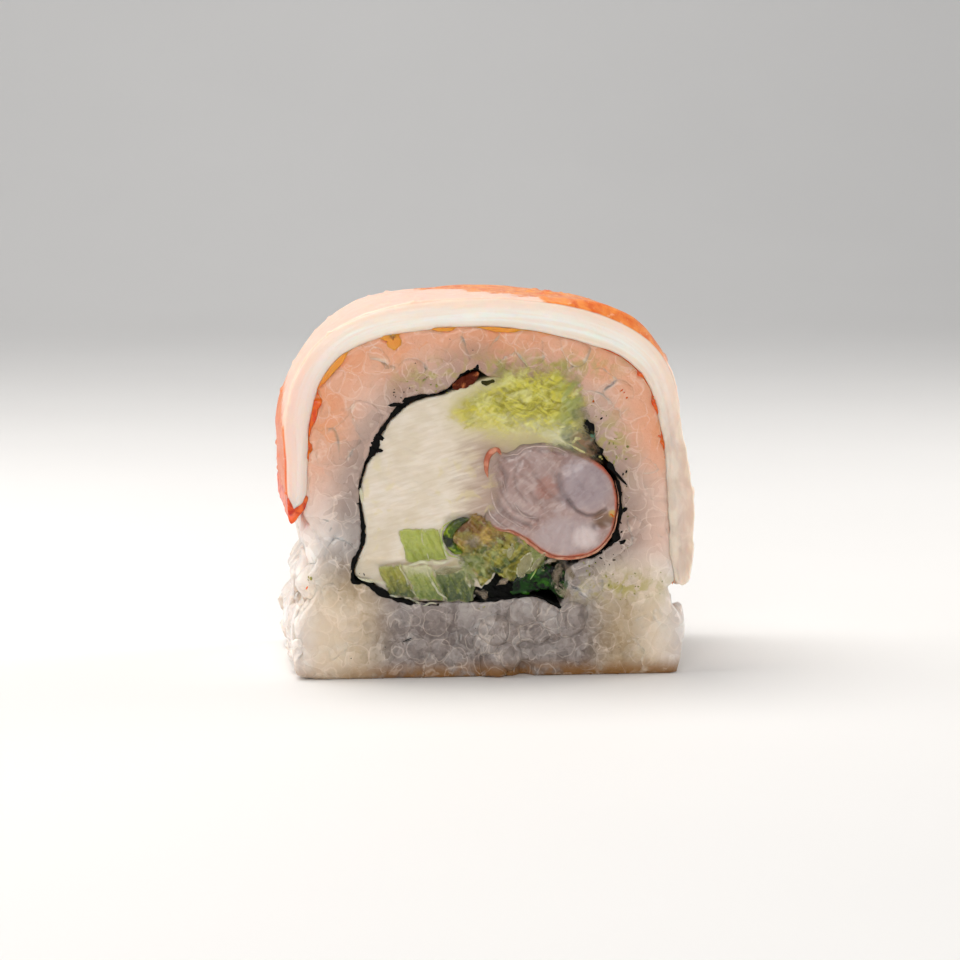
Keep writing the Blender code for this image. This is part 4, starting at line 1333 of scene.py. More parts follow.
creamCheese = {
    "around": 190, "capRings": 70, "sideRings": 12, "ragged": 0.10, "seed": 3,
    "edge": 0.3, "recess": 0.12, "centre": (-6.6, 18.2), "hollow": 0.45,
}
cheeseOutline = [
    (-0.3, 28.9), (-4.1, 27.4), (-7.6, 26.5), (-10.4, 23.4), (-12.25, 18.6), (-11.95, 13.8), (-12.8, 11.2),
    (-12.8, 9.9), (-11.2, 9.3), (-9.0, 7.9), (-5.0, 7.25), (-1.5, 7.5), (0.4, 9.4), (1.2, 12.5), (2.0, 15.0),
    (2.4, 19.6), (4.6, 21.6), (8.4, 21.6), (9.4, 23.2), (8.6, 26.0), (6.0, 28.2), (2.6, 29.0),
]


# fine streaks that fall to the right, a soft unevenness, and a hollow under the cucumber
# and the leaves
def cheeseRelief(x, z, side, inset):
    fine = streaks(x, z, side, -16, 4.0, 0.55, 81)
    lower = smoothStep(0.6, -0.4, z - 11.2) + smoothStep(-4.6, -3.6, x) * smoothStep(16.2, 15.2, z)
    square = smoothStep(0.1, 0.6, x + 8.9 + (z - 14.5) * 0.27) * smoothStep(14.5, 14.0, z)
    under = smoothStep(0.5, 3.0, x) * smoothStep(20.5, 21.5, z)
    lower = np.maximum(np.clip(lower, 0, 1), 0.6 * square) + 0.4 * under
    return 0.05 * fine + 0.09 * faceClouds(x, z, side, 3.2, 83) - creamCheese["hollow"] * lower


# pale cream with fine streaks, stained beside the shrimp and the avocado
def cheeseMaterial():
    f = Finish("cream cheese", wetFood(0.9, 0.6, 0.12, (1.0, 0.8, 0.6), 0.42))
    x, z = f.attribute("flatX"), f.attribute("flatZ")
    streakPlace = f.place((0.16, 0.3, 1.0), (0, 16, 0))
    fine = f.noise(0.36, 3, streakPlace, 0.3)
    soft = f.noise(2.6, 3)
    f.colour = f.mix(f.step(soft, 0.3, 0.7), tint(236, 225, 210), tint(224, 211, 190))
    f.paint(f.step(fine, 0.36, 0.7) * 0.4, 208, 192, 164)
    # towards the shrimp it turns pinkish grey in slanting streaks
    nearShrimp = f.step(x + (fine - 0.5) * 4.5, -4.0, 0.2) * f.step(z, 13.5, 16.0)
    nearShrimp = nearShrimp * (1 - f.step(z, 22.0, 25.0))
    f.paint(nearShrimp * 0.8, 172, 142, 126)
    # beside the avocado it is stained pale green
    nearAvocado = f.step(x * 0.55 + z + (soft - 0.5) * 2.5, 21.4, 24.4) * f.step(x, -6.0, -1.5)
    f.paint(nearAvocado * 0.6, 204, 196, 134)
    yellow = f.step(f.noise(1.4, 3, None, 0.5), 0.56, 0.7) * (1 - f.step(z, 19.5, 23.0))
    f.paint(yellow * 0.4, 222, 208, 150)
    height = fine * 0.6 + f.noise(0.5, 4) * 0.6
    return f.surface(0.32 + soft * 0.2, height, 0.00012, 0.4)


cheeseRim = curveThrough(cheeseOutline, 240, True)
fillingPiece(
    "creamCheese", cheeseRim, creamCheese, cheeseRelief, cheeseMaterial(), ["cream_cheese"]
)

avocadoPaste = {
    "around": 220, "capRings": 70, "sideRings": 10, "ragged": 0.5, "seed": 5,
    "edge": 0.2, "edgeWidth": 2.6, "recess": -0.16, "centre": (3.8, 25.6),
}
avocadoOutline = [
    (-4.9, 25.4), (-3.3, 27.2), (-1.6, 28.4), (-0.6, 29.5), (1.0, 30.5), (3.2, 30.9), (5.6, 30.7),
    (7.8, 29.9), (9.4, 28.2), (10.1, 26.2), (10.8, 24.0), (11.4, 22.0), (11.2, 20.2), (8.8, 20.6),
    (6.5, 21.5), (4.0, 21.8), (1.5, 22.1), (-1.0, 22.9), (-3.3, 23.9),
]


# mash pressed flat by the knife: feathery strands that rise to the right, and lumps
def avocadoRelief(x, z, side, inset):
    strands = streaks(x, z, side, 24, 2.2, 0.4, 91)
    ruffle = np.abs(streaks(x, z, side, 52, 1.6, 0.55, 94))
    return 0.08 * strands + 0.08 * faceClouds(x, z, side, 1.5, 93) - 0.09 * ruffle


# feathery green mash
def avocadoMaterial():
    f = Finish("avocado", wetFood(0.8, 0.7, 0.4, (0.8, 0.95, 0.4), 0.3))
    x, z = f.attribute("flatX"), f.attribute("flatZ")
    feather = f.noise(0.7, 5, f.place((0.45, 0.5, 1.0), (0, -24, 0)), 1.4, 0.62)
    patch = f.noise(1.7, 4, None, 0.9)
    f.colour = f.mix(f.step(feather, 0.34, 0.64), tint(148, 140, 24), tint(210, 202, 74))
    f.paint(f.step(patch, 0.44, 0.64) * 0.75, 220, 216, 136)
    # paler and whiter low down, green at the right, darker olive at the top left
    low = 1 - f.step(z + (feather - 0.5) * 3.4 + x * 0.1, 23.2, 26.0)
    f.paint(low * 0.85, 224, 220, 182)
    green = f.step(x + (feather - 0.5) * 3.0, 5.2, 8.0) * f.step(patch, 0.36, 0.6)
    f.paint(green * 0.6, 112, 130, 52)
    corner = f.step(x - z * 0.5 + (patch - 0.5) * 4.0, -5.4, -2.8) * (1 - f.step(z, 25.6, 27.0))
    cornerOlive = f.mix(f.step(feather, 0.36, 0.6), tint(44, 52, 32), tint(146, 136, 96))
    f.colour = f.mix(corner * 0.85, f.colour, cornerOlive)
    rust = f.step(feather, 0.42, 0.58) * f.step(x, 7.4, 8.8) * (1 - f.step(z, 22.8, 24.2))
    f.paint(rust * 0.7, 132, 84, 58)
    dark = f.step((feather - 0.5) * 3.4 + z - abs(x - 0.6) * 0.9, 27.8, 29.2)
    f.paint(dark * 0.6, 84, 74, 16)
    # yellow at its left end; at the rim it thins out over cheese and rice
    yellow = 1 - f.step(x * 0.6 + z + (patch - 0.5) * 3.0, 24.6, 26.6)
    f.paint(yellow * 0.45, 206, 192, 60)
    rim = f.attribute("inset") + (feather - 0.5) * 2.4 + (patch - 0.5) * 2.4 - low * 0.6
    solid = f.step(rim, 0.0, 2.6)
    height = feather + f.noise(0.25, 4) * 0.5
    return f.surface(0.26 + patch * 0.25, height, 0.00018, 0.6, solid)


avocadoRim = curveThrough(avocadoOutline, 240, True)
fillingPiece(
    "avocadoPaste", avocadoRim, avocadoPaste, avocadoRelief, avocadoMaterial(), ["avocado"]
)

shrimpMeat = {
    "around": 230, "capRings": 92, "sideRings": 10, "ragged": 0.07, "seed": 7,
    "edge": 0.5, "recess": -0.05, "centre": (6.2, 17.2),
}
shrimpOutline = [
    (-0.3, 20.9), (0.5, 22.0), (1.7, 21.7), (3.4, 22.4), (6.0, 22.5), (7.8, 21.9), (9.8, 21.0), (11.3, 19.9),
    (12.2, 18.4), (12.45, 16.4), (12.2, 14.8), (11.6, 13.3), (10.3, 12.0), (8.0, 11.45), (5.6, 11.75),
    (3.9, 12.9), (2.1, 14.0), (0.6, 14.3), (-0.4, 15.4), (-0.1, 17.5), (-0.35, 19.4),
]
# domes of the cut flesh: x, z, half width, half height, turn in degrees, rise
shrimpLobes = [
    (9.2, 18.3, 3.2, 2.9, 10, 0.34), (3.2, 18.6, 3.6, 3.1, 0, 0.20), (7.2, 14.2, 4.8, 2.8, -14, 0.28),
]
# creases between the folds: depth, width, then the line
shrimpCreases = [
    (0.16, 0.34, [(6.6, 19.4), (6.9, 18.0), (7.8, 16.8)]),
    (0.22, 0.17, [(7.6, 17.0), (8.4, 16.1), (9.4, 15.6), (10.3, 15.6), (11.2, 16.1)]),
    (0.14, 0.2, [(0.2, 18.8), (1.0, 16.6), (2.2, 15.4), (3.9, 14.7)]),
    (0.10, 0.16, [(0.7, 19.6), (1.3, 17.6), (2.3, 16.2), (4.6, 15.2)]),
    (0.08, 0.16, [(3.0, 20.9), (2.4, 19.6), (2.6, 18.2), (3.6, 17.0)]),
    (0.10, 0.30, [(4.4, 19.6), (5.2, 18.6), (6.0, 17.6), (7.0, 17.0)]),
    (0.10, 0.18, [(1.5, 21.2), (2.4, 21.3), (3.5, 22.0), (6.0, 21.9), (7.2, 21.5)]),
    (0.12, 0.22, [(0.8, 20.8), (1.6, 19.6), (1.4, 18.2)]),
    (0.20, 0.36, [(10.2, 14.6), (11.0, 14.9), (11.9, 15.0)]),
]


# lobes: bumps that fall off smoothly; creases: a bell across each line; streaks that fan out below
def shrimpRelief(x, z, side, inset):
    height = 0 * x
    for centreX, centreZ, wide, high, turn, rise in shrimpLobes:
        angle = math.radians(turn)
        u = ((x - centreX) * math.cos(angle) + (z - centreZ) * math.sin(angle)) / wide
        v = ((z - centreZ) * math.cos(angle) - (x - centreX) * math.sin(angle)) / high
        height = height + rise * smoothStep(1.15, 0.35, np.sqrt(u ** 2 + v ** 2))
    for depth, width, line in shrimpCreases:
        height = height - depth * np.exp(-(lineDistance(x, z, line) / width) ** 2)
    folds = streaks(x, z, side, -38, 2.0, 0.45, 97) * smoothStep(9.0, 4.0, x)
    fan = np.sin(np.arctan2(z - 16.5, x - 8.6) * 22 + 2 * faceClouds(x, z, side, 1.5, 98))
    fan = fan * smoothStep(15.4, 14.2, z) * smoothStep(0.3, 1.0, inset)
    return height + 0.05 * folds + 0.025 * fan + 0.03 * faceClouds(x, z, side, 1.0, 99)


# 1 in a crease, 0 away from it; the material paints shade there
def shrimpMarks(x, z):
    crease = 0 * x
    for depth, width, line in shrimpCreases:
        bell = np.exp(-(lineDistance(x, z, line) / (width * 1.2)) ** 2)
        crease = np.maximum(crease, min(depth / 0.25, 1) * bell)
    return {"crease": crease}


# pinkish grey flesh, with the lobes and rims in tints of their own and painted shade in the creases
def shrimpMaterial():
    f = Finish("shrimp", wetFood(1.3, 0.85, 0.5, (1.0, 0.72, 0.62), 0.28))
    x, z = f.attribute("flatX"), f.attribute("flatZ")
    inset = f.attribute("inset")
    cloud = f.noise(1.6, 4, None, 0.6)
    fibres = f.noise(0.45, 4, f.place((0.35, 0.4, 1.0), (0, 38, 0)), 0.8)
    f.colour = f.mix(f.step(cloud, 0.3, 0.7), tint(160, 130, 122), tint(184, 160, 154))
    f.paint(f.step(fibres, 0.48, 0.68) * 0.5, 206, 186, 178)
    # the right dome is bluish grey, the lower one whiter
    right = f.blot(x - 9.2, z - 18.4, 2.0, 11.0, (cloud - 0.5) * 9.0)
    f.colour = f.mix(right * 0.75, f.colour, f.mix(cloud, tint(150, 136, 142), tint(184, 170, 174)))
    away = (x - 7.6) ** 2 * 0.7 + ((z - 13.7) * 1.5) ** 2
    lower = 1 - f.step(away + (fibres - 0.5) * 7.0, 3.0, 10.0)
    f.paint(lower * 0.7, 190, 174, 174)
    bright = f.blot(x - 9.2, (z - 13.5) * 1.2, 0.3, 2.6, (fibres - 0.5) * 2.0)
    f.paint(bright * 0.6, 232, 218, 214)
    # painted shade in the creases
    f.paint(f.attribute("crease") * 0.6, 106, 80, 76)
    # brown wedge between them, veins at the middle, yellow spots left and right
    wedge = f.blot(x - 11.1, (z - 15.2) * 1.3, 0.4, 2.0, (cloud - 0.5) * 1.5)
    f.paint(wedge * 0.8, 128, 92, 62)
    veins = f.blot(x - 5.4, z - 18.3, 0.2, 1.8, (fibres - 0.5) * 3.0)
    f.paint(veins * 0.45, 176, 116, 98)
    amber = f.blot(x - 11.9, z - 15.7, 0.03, 0.22)
    amber = amber + f.blot((x + 0.3) * 1.8, (z - 17.8) * 0.8, 0.1, 0.4)
    f.paint(amber * 0.8, 214, 172, 70)
    # reddish skin along the lower and right rim, grey along the top
    lowRim = 1 - f.step(inset + (cloud - 0.5) * 0.4, 0.12, 0.5)
    lowRim = lowRim * (1 - f.step(z - x * 0.75, 12.5, 15.5))
    f.paint(lowRim * 0.8, 210, 104, 66)
    topRim = (1 - f.step(inset, 0.1, 0.8)) * f.step(z - x * 0.75, 13.5, 16.0)
    f.paint(topRim * 0.5, 134, 118, 104)
    height = fibres * 0.8 + f.noise(0.3, 4) * 0.5
    # its left end thins out over the cheese
    end = (1 - f.step(x, 0.4, 2.2)) * f.step(z, 15.5, 16.5)
    thin = end * (1 - f.step(inset + (fibres - 0.5) * 2.4, 0.0, 2.2))
    return f.surface(0.2 + cloud * 0.2, height, 0.00014, 0.45, 1 - thin)


shrimpRim = curveThrough(shrimpOutline, 240, True)
fillingPiece(
    "shrimpMeat", shrimpRim, shrimpMeat, shrimpRelief, shrimpMaterial(), ["shrimp"], shrimpMarks
)

# the shrimp's skin: a red thread round its lower and right rim, and the hook at its left end
shrimpSkinPaths = [
    [(12.1, 19.0, 0.03), (12.45, 17.2, 0.06), (12.35, 15.2, 0.07), (11.7, 13.4, 0.09), (10.3, 12.0, 0.12),
     (8.0, 11.4, 0.14), (5.6, 11.7, 0.15), (3.9, 12.9, 0.16), (2.1, 14.0, 0.12), (0.6, 14.3, 0.08)],
    [(-0.1, 19.3, 0.1), (-0.3, 20.2, 0.22), (-0.25, 21.1, 0.27), (0.15, 21.8, 0.28), (0.75, 22.0, 0.24),
     (1.15, 21.5, 0.16)],
]
shrimpSkin = {"steps": 120, "columns": 10, "blunt": 6.0, "wobble": 0.05, "depth": 0.8, "lift": 0.02}
skinRed = filmMaterial("shrimp skin", tint(216, 150, 120), tint(182, 98, 70), (1.0, 0.7, 0.6))
threadPiece("shrimpSkin", shrimpSkinPaths, shrimpSkin, skinRed)

# pale edges of the folds at its left end
shrimpFoldPaths = [
    [(0.0, 18.6, 0.04), (0.5, 17.0, 0.07), (1.4, 15.5, 0.08), (3.4, 14.4, 0.04)],
    [(1.2, 19.2, 0.04), (1.9, 17.4, 0.07), (3.2, 15.8, 0.07), (5.0, 15.2, 0.04)],
    [(-0.2, 16.6, 0.04), (0.5, 15.3, 0.08), (2.0, 14.3, 0.05)],
    [(2.6, 20.8, 0.03), (2.0, 19.6, 0.06), (2.2, 18.2, 0.04)],
    [(1.4, 21.4, 0.04), (2.6, 21.6, 0.06), (3.6, 22.2, 0.05), (6.0, 22.2, 0.05), (7.6, 21.6, 0.04)],
    [(9.2, 15.3, 0.03), (10.2, 15.2, 0.06), (11.0, 15.6, 0.04)],
]
shrimpFolds = {"steps": 50, "columns": 8, "blunt": 3.0, "wobble": 0.12, "depth": 0.7, "lift": 0.16}
foldPale = filmMaterial("shrimp fold", tint(216, 190, 180), tint(186, 156, 146), (1.0, 0.8, 0.7))
threadPiece("shrimpFolds", shrimpFoldPaths, shrimpFolds, foldPale)

print("cucumber and leaves")

cucumber = {"around": 100, "capRings": 30, "sideRings": 8, "ragged": 0.08, "edge": 0.35, "recess": 0.02}
# corners of the square and the strips: x, z
cucumberSquare = [(-8.9, 14.5), (-8.0, 11.1), (-3.9, 11.4), (-4.8, 14.5)]
cucumberStrips = [
    [(-10.8, 10.8), (-9.5, 7.9), (-6.9, 7.7), (-8.5, 11.2)],
    [(-8.6, 11.1), (-7.0, 7.6), (-4.2, 7.4), (-5.5, 10.9)],
    [(-5.6, 10.6), (-4.3, 7.3), (-1.6, 7.2), (-1.3, 9.3), (-2.2, 10.6)],
]


# a soft unevenness and fine ridges that run up the slope of the strips
def cucumberRelief(x, z, side, inset):
    return 0.07 * faceClouds(x, z, side, 0.8, 103) - 0.07 * streaks(x, z, side, 118, 2.0, 0.35, 105)


# wet flesh, dark below low and light above high, with a white haze over its top
def cucumberMaterial(name, light, dark, low, high, haze):
    f = Finish(name, wetFood(0.9, 0.65, 0.5, (0.7, 1.0, 0.4), 0.24))
    z, inset = f.attribute("flatZ"), f.attribute("inset")
    flesh = f.noise(0.9, 4, None, 0.7)
    cells = f.noise(0.32, 4, None, 0.8)
    lines = f.noise(0.36, 3, f.place((1.0, 0.3, 0.28), (0, 28, 0)), 0.5)
    shade = f.step(z + (flesh - 0.5) * 3.2, low, high)
    f.colour = f.mix(shade, dark, light)
    f.paint(f.step(lines, 0.54, 0.68) * 0.25, 196, 204, 128)
    f.paint(f.step(cells, 0.5, 0.7) * 0.25, 186, 184, 70)
    f.colour = f.mix(f.step(cells, 0.5, 0.34) * 0.3, f.colour, dark)
    f.paint((1 - f.step(inset, 0.05, 0.35)) * 0.3, 210, 212, 156)
    f.paint(f.step(z + (flesh - 0.5) * 2.0, 9.6, 10.8) * haze, 214, 208, 178)
    height = flesh + cells * 0.6 + lines * 0.5
    solid = f.step(inset + (flesh - 0.5) * 1.0, -0.08, 0.26)
    return f.surface(0.16 + flesh * 0.25, height, 0.00016, 0.6, solid)


cucumberGreens = [
    cucumberMaterial("cucumber square", tint(172, 180, 84), tint(140, 152, 62), 10.9, 13.4, 0.0),
    cucumberMaterial("cucumber strip 1", tint(150, 146, 54), tint(44, 64, 14), 7.4, 10.2, 0.0),
    cucumberMaterial("cucumber strip 2", tint(150, 158, 80), tint(80, 102, 28), 7.2, 9.8, 0.7),
    cucumberMaterial("cucumber strip 3", tint(96, 110, 46), tint(44, 64, 16), 7.2, 10.6, 0.25),
]
cucumberPieces = [
    ("cucumberSquare", "cucumber_square", (-6.4, 12.9), cucumberSquare),
    ("cucumberStrip1", "cucumber_strip_1", np.mean(cucumberStrips[0], axis=0), cucumberStrips[0]),
    ("cucumberStrip2", "cucumber_strip_2", np.mean(cucumberStrips[1], axis=0), cucumberStrips[1]),
    ("cucumberStrip3", "cucumber_strip_3", np.mean(cucumberStrips[2], axis=0), cucumberStrips[2]),
]
for number, (name, node, centre, corners) in enumerate(cucumberPieces):
    options = {**cucumber, "seed": 11 + number, "centre": centre}
    fillingPiece(
        name, cornered(corners), options, cucumberRelief, cucumberGreens[number], [node]
    )

# pale fibres of cheese between and over the cucumber, and the frayed white line below it
paleFibrePaths = [
    [(-8.75, 10.9, 0.10), (-8.1, 9.6, 0.12), (-7.1, 8.0, 0.09)],
    [(-6.0, 10.4, 0.08), (-5.6, 9.6, 0.11), (-4.9, 8.3, 0.11), (-4.0, 7.5, 0.12)],
    [(-6.6, 14.1, 0.04), (-6.3, 12.8, 0.07), (-5.8, 11.3, 0.05)],
    [(-4.9, 14.5, 0.10), (-4.4, 13.0, 0.14), (-3.9, 11.3, 0.10)],
    [(-8.0, 11.0, 0.08), (-6.4, 11.15, 0.24), (-4.6, 11.2, 0.14), (-3.6, 11.6, 0.08)],
    [(-2.7, 10.6, 0.10), (-2.2, 10.2, 0.24), (-2.1, 9.5, 0.24), (-1.8, 8.7, 0.12)],
    [(-9.7, 8.0, 0.07), (-9.0, 7.85, 0.13), (-8.5, 7.8, 0.07)],
    [(-8.2, 7.85, 0.07), (-7.7, 7.7, 0.13), (-7.4, 7.5, 0.07)],
    [(-7.5, 7.6, 0.05), (-7.0, 7.35, 0.14), (-6.6, 7.2, 0.09)],
    [(-6.5, 7.1, 0.05), (-5.7, 7.2, 0.10), (-5.0, 7.1, 0.05)],
    [(-12.7, 9.9, 0.08), (-11.6, 9.6, 0.16), (-10.4, 9.4, 0.13), (-9.8, 9.2, 0.06)],
    [(-5.0, 10.2, 0.06), (-4.0, 10.4, 0.14), (-3.0, 10.8, 0.08)],
    [(-12.3, 18.5, 0.1), (-12.3, 17.8, 0.22), (-12.15, 17.0, 0.1)],
]
paleFibres = {"steps": 40, "columns": 8, "blunt": 3.0, "wobble": 0.16, "depth": 0.5, "lift": 0.02}


# fibres that fade out in patches
def fibreMaterial():
    f = Finish("cheese fibre", wetFood(0.9, 0.6, 0.2, (1.0, 0.8, 0.6), 0.35))
    f.colour = f.mix(f.noise(0.8, 3), tint(236, 226, 198), tint(214, 212, 168))
    solid = f.step(f.noise(1.0, 4), 0.28, 0.6) * 0.85
    return f.surface(None, f.noise(0.3, 3), 0.0001, 0.5, solid)


threadPiece("paleFibres", paleFibrePaths, paleFibres, fibreMaterial())

greenLeaf = {
    "around": 160, "capRings": 60, "sideRings": 8, "ragged": 0.35, "seed": 17,
    "edge": 0.5, "recess": 0.12, "centre": (0.6, 12.4),
}
leafOutline = [
    (-4.0, 13.6), (-3.4, 15.1), (-1.0, 15.8), (1.2, 14.9), (3.0, 14.0), (5.0, 12.6), (5.6, 11.5),
    (4.4, 10.0), (2.6, 9.3), (0.6, 9.5), (-0.8, 9.0), (-1.9, 9.8), (-2.6, 11.0), (-3.6, 12.0),
]


# crumpled leaf: deep soft folds that run down to the right
def leafRelief(x, z, side, inset):
    folds = streaks(x, z, side, -38, 2.4, 0.7, 107)
    return 0.22 * folds + 0.28 * faceClouds(x, z, side, 1.5, 109)


# olive above and green below, with pale, grey and brown places, darker to the lower right
def leafMaterial():
    f = Finish("green leaf", wetFood(0.7, 0.6, 0.5, (0.6, 1.0, 0.3), 0.26))
    x, z = f.attribute("flatX"), f.attribute("flatZ")
    veins = f.noise(1.1, 4, f.place((0.5, 0.4, 1.0), (0, 38, 0)), 0.9, 0.58)
    patch = f.noise(1.5, 4, None, 0.9)
    olive = f.mix(f.step(veins, 0.34, 0.66), tint(116, 76, 22), tint(196, 166, 84))
    green = f.mix(f.step(veins, 0.32, 0.66), tint(60, 72, 4), tint(178, 168, 70))
    f.colour = f.mix(f.step(z - x * 0.2 + (patch - 0.5) * 3.4, 12.0, 13.6), green, olive)
    pale = f.blot(x + 1.0, (z - 11.1) * 1.5, 0.4, 2.4, (veins - 0.5) * 3.0)
    f.paint(pale * 0.5, 176, 168, 92)
    f.paint(f.blot(x + 1.6, (z - 13.2) * 1.2, 0.15, 0.9) * 0.7, 172, 158, 128)
    f.paint(f.blot(x + 2.4, (z - 14.7) * 1.4, 0.2, 1.0) * 0.7, 112, 66, 22)
    f.paint(f.step(patch, 0.56, 0.7) * 0.6, 200, 198, 140)
    crumbs = f.noise(0.42, 4, None, 1.2)
    f.paint(f.step(crumbs, 0.46, 0.3) * 0.2, 70, 50, 10)
    f.paint(f.step(crumbs, 0.58, 0.74) * 0.15, 214, 200, 150)
    dark = f.step(x - z * 0.35 + (veins - 0.5) * 4.0, -1.2, 1.4) * (1 - f.step(z, 9.8, 12.8))
    f.paint(dark * 0.9, 28, 52, 12)
    solid = f.step(f.attribute("inset") + (patch - 0.5) * 1.6, 0.0, 0.4)
    return f.surface(0.18 + patch * 0.25, veins + crumbs * 0.4, 0.0002, 0.7, solid)


leafRim = curveThrough(leafOutline, 220, True)
fillingPiece("greenLeaf", leafRim, greenLeaf, leafRelief, leafMaterial(), ["green_leaf"])

# the dark leaf below it: a folded ribbon, and beside it a black mass, partly a fold of seaweed and partly
# painted shadow in the gap under the leaves
darkLeafPath = [
    (1.6, 8.7, 1.6), (3.2, 8.9, 2.4), (4.9, 9.5, 2.6), (6.2, 9.6, 2.4), (7.0, 8.4, 1.8), (7.9, 7.2, 0.9),
]
darkLeaf = {
    "steps": 110, "longSteps": 40, "shortSteps": 36, "cornerSteps": 3, "corner": 0.3,
    "startTaper": 0.8, "endTaper": 0.8, "front": -faceY + 0.25,
}


# nearly black, with green veins and a few brighter patches
def darkLeafMaterial():
    f = Finish("dark leaf", {"Specular IOR Level": 0.16, "Coat Weight": 0.06, "Coat Roughness": 0.1})
    veins = f.noise(0.9, 4, None, 1.0)
    f.colour = f.mix(f.step(veins, 0.44, 0.64), tint(1, 4, 0), tint(12, 56, 2))
    f.paint(f.step(f.noise(1.1, 4), 0.54, 0.68) * 0.8, 46, 104, 8)
    return f.surface(0.16 + veins * 0.25, veins, 0.00025, 0.8)


leafLumps = lumps(0.16, 1.2, 3, 113, (1, 0.5, 1))
leafDark = darkLeafMaterial()
slabPiece("darkLeaf", darkLeafPath, darkLeaf, leafLumps, leafDark, ["dark_leaf"], drift=True)
noriFoldShadow = {
    "around": 90, "capRings": 24, "sideRings": 6, "ragged": 0.3, "seed": 19,
    "edge": 0.4, "recess": 0.3, "centre": (0.7, 8.5),
}
foldShadowRim = cornered([(-1.6, 8.8), (-1.2, 7.2), (3.0, 7.3), (2.6, 9.2), (0.4, 9.9)])
# black: partly a fold of seaweed, partly painted shadow in the gap under the leaves
fillingPiece("noriFoldShadow", foldShadowRim, noriFoldShadow, leafRelief, noriBlack)

# the curled tip of the green leaf: a ribbon rolled back on itself, with a bright rim
curlPath = [
    (-2.6, 12.1, 0.4), (-3.3, 12.4, 0.8), (-3.95, 13.3, 1.0), (-3.7, 14.3, 0.9), (-2.9, 15.0, 0.7),
    (-2.0, 15.4, 0.35),
]
leafCurl = {
    "steps": 90, "longSteps": 40, "shortSteps": 10, "cornerSteps": 3, "corner": 0.25,
    "startTaper": 0.5, "endTaper": 0.8, "front": -faceY - 0.2,
}


# bright green outside, with painted shade in black where it rolls in
def curlMaterial():
    f = Finish("leaf edge", wetFood(0.4, 0.2, 0.1, (0.9, 1.0, 0.2), 0.4))
    veins = f.noise(0.6, 4, None, 0.8)
    along = f.attribute("along")
    f.colour = f.mix(f.step(veins, 0.42, 0.64), tint(60, 84, 0), tint(150, 172, 10))
    # painted shade in black inside the roll
    f.paint((1 - f.step(abs(along - 1.8), 0.3, 0.7)) * 0.9, 2, 6, 1)
    f.paint(f.step(along + (veins - 0.5) * 3.0, 2.9, 3.6) * 0.8, 10, 24, 4)
    return f.surface(0.18 + veins * 0.2, veins, 0.00015, 0.5)


curlLumps = lumps(0.09, 1.0, 3, 117, (1, 0.5, 1))
slabPiece("leafCurl", curlPath, leafCurl, curlLumps, curlMaterial(), drift=True)


# flakes strewn inside an outline: count, x from and to, z from and to, smallest and largest
# half length, turn in degrees
def flakeSpots(random, boxes, outline):
    spots = []
    for count, x0, x1, z0, z1, small, large, turn in boxes:
        length = random.uniform(small, large, count)
        width = length * random.uniform(0.3, 0.6, count)
        turns = turn + random.normal(0, 28, count)
        x, z = random.uniform(x0, x1, count), random.uniform(z0, z1, count)
        spots.append(np.column_stack([x, z, length, width, turns, random.uniform(-0.15, 0.12, count)]))
    spots = np.vstack(spots)
    return spots[isInside(spots[:, 0], spots[:, 1], outline)].tolist()


# thin leaf: small olive and brown scraps above, whitish green ones below, shards at the right,
# grey-brown flakes over the cucumber and beside the dark leaf, dark green ones between
flakeRandom = np.random.default_rng(41)
oliveBoxes = [(12, -3.2, 2.6, 12.4, 15.6, 0.6, 1.3, -36)]
paleBoxes = [(14, -2.8, 4.8, 9.6, 12.6, 0.7, 1.5, -40), (5, -1.2, 3.4, 12.4, 13.6, 0.5, 1.0, -36)]
oliveFlakes = flakeSpots(flakeRandom, oliveBoxes, leafRim)
paleFlakes = flakeSpots(flakeRandom, paleBoxes, leafRim) + [(-1.2, 11.3, 1.3, 0.5, -14, 0.05)]
# those whose outline shows: the grey-brown one over the cucumber, two at the right, one in the middle
clearFlakes = [
    (-3.9, 10.45, 1.45, 0.42, 8, 0.12), (3.3, 10.7, 1.35, 0.6, 62, 0.16), (4.7, 11.1, 1.2, 0.3, 52, 0.12),
    (2.0, 12.2, 0.8, 0.3, 72, 0.12), (-2.0, 9.7, 0.95, 0.28, -66, 0.14),
]
greyShardFlakes = [
    (6.5, 9.8, 1.6, 0.6, 78, 0.0), (7.4, 8.2, 1.2, 0.6, -42, 0.0),
    (7.9, 9.9, 1.0, 0.5, -60, -0.02), (1.0, 13.3, 0.6, 0.35, 40, 0.06), (5.9, 11.2, 0.8, 0.4, 10, 0.0),
    (-1.7, 13.1, 0.7, 0.5, 20, 0.08), (2.9, 13.2, 0.8, 0.3, -36, 0.02), (-0.7, 8.1, 0.8, 0.45, -40, 0.12),
    (1.3, 9.2, 0.7, 0.3, 24, 0.12),
]
darkShardFlakes = [
    (2.9, 9.9, 0.9, 0.5, 30, 0.03), (7.3, 8.9, 0.6, 0.32, 70, 0.10), (0.9, 10.3, 0.8, 0.3, -30, 0.10),
    (4.9, 10.4, 0.9, 0.35, 60, 0.08), (-0.6, 9.9, 0.7, 0.3, -20, 0.08), (1.9, 12.4, 0.5, 0.2, 60, 0.1),
]
shards = {"rings": 8, "columns": 20, "ragged": 0.5, "bend": 0.2, "depth": 0.1, "seed": 2}


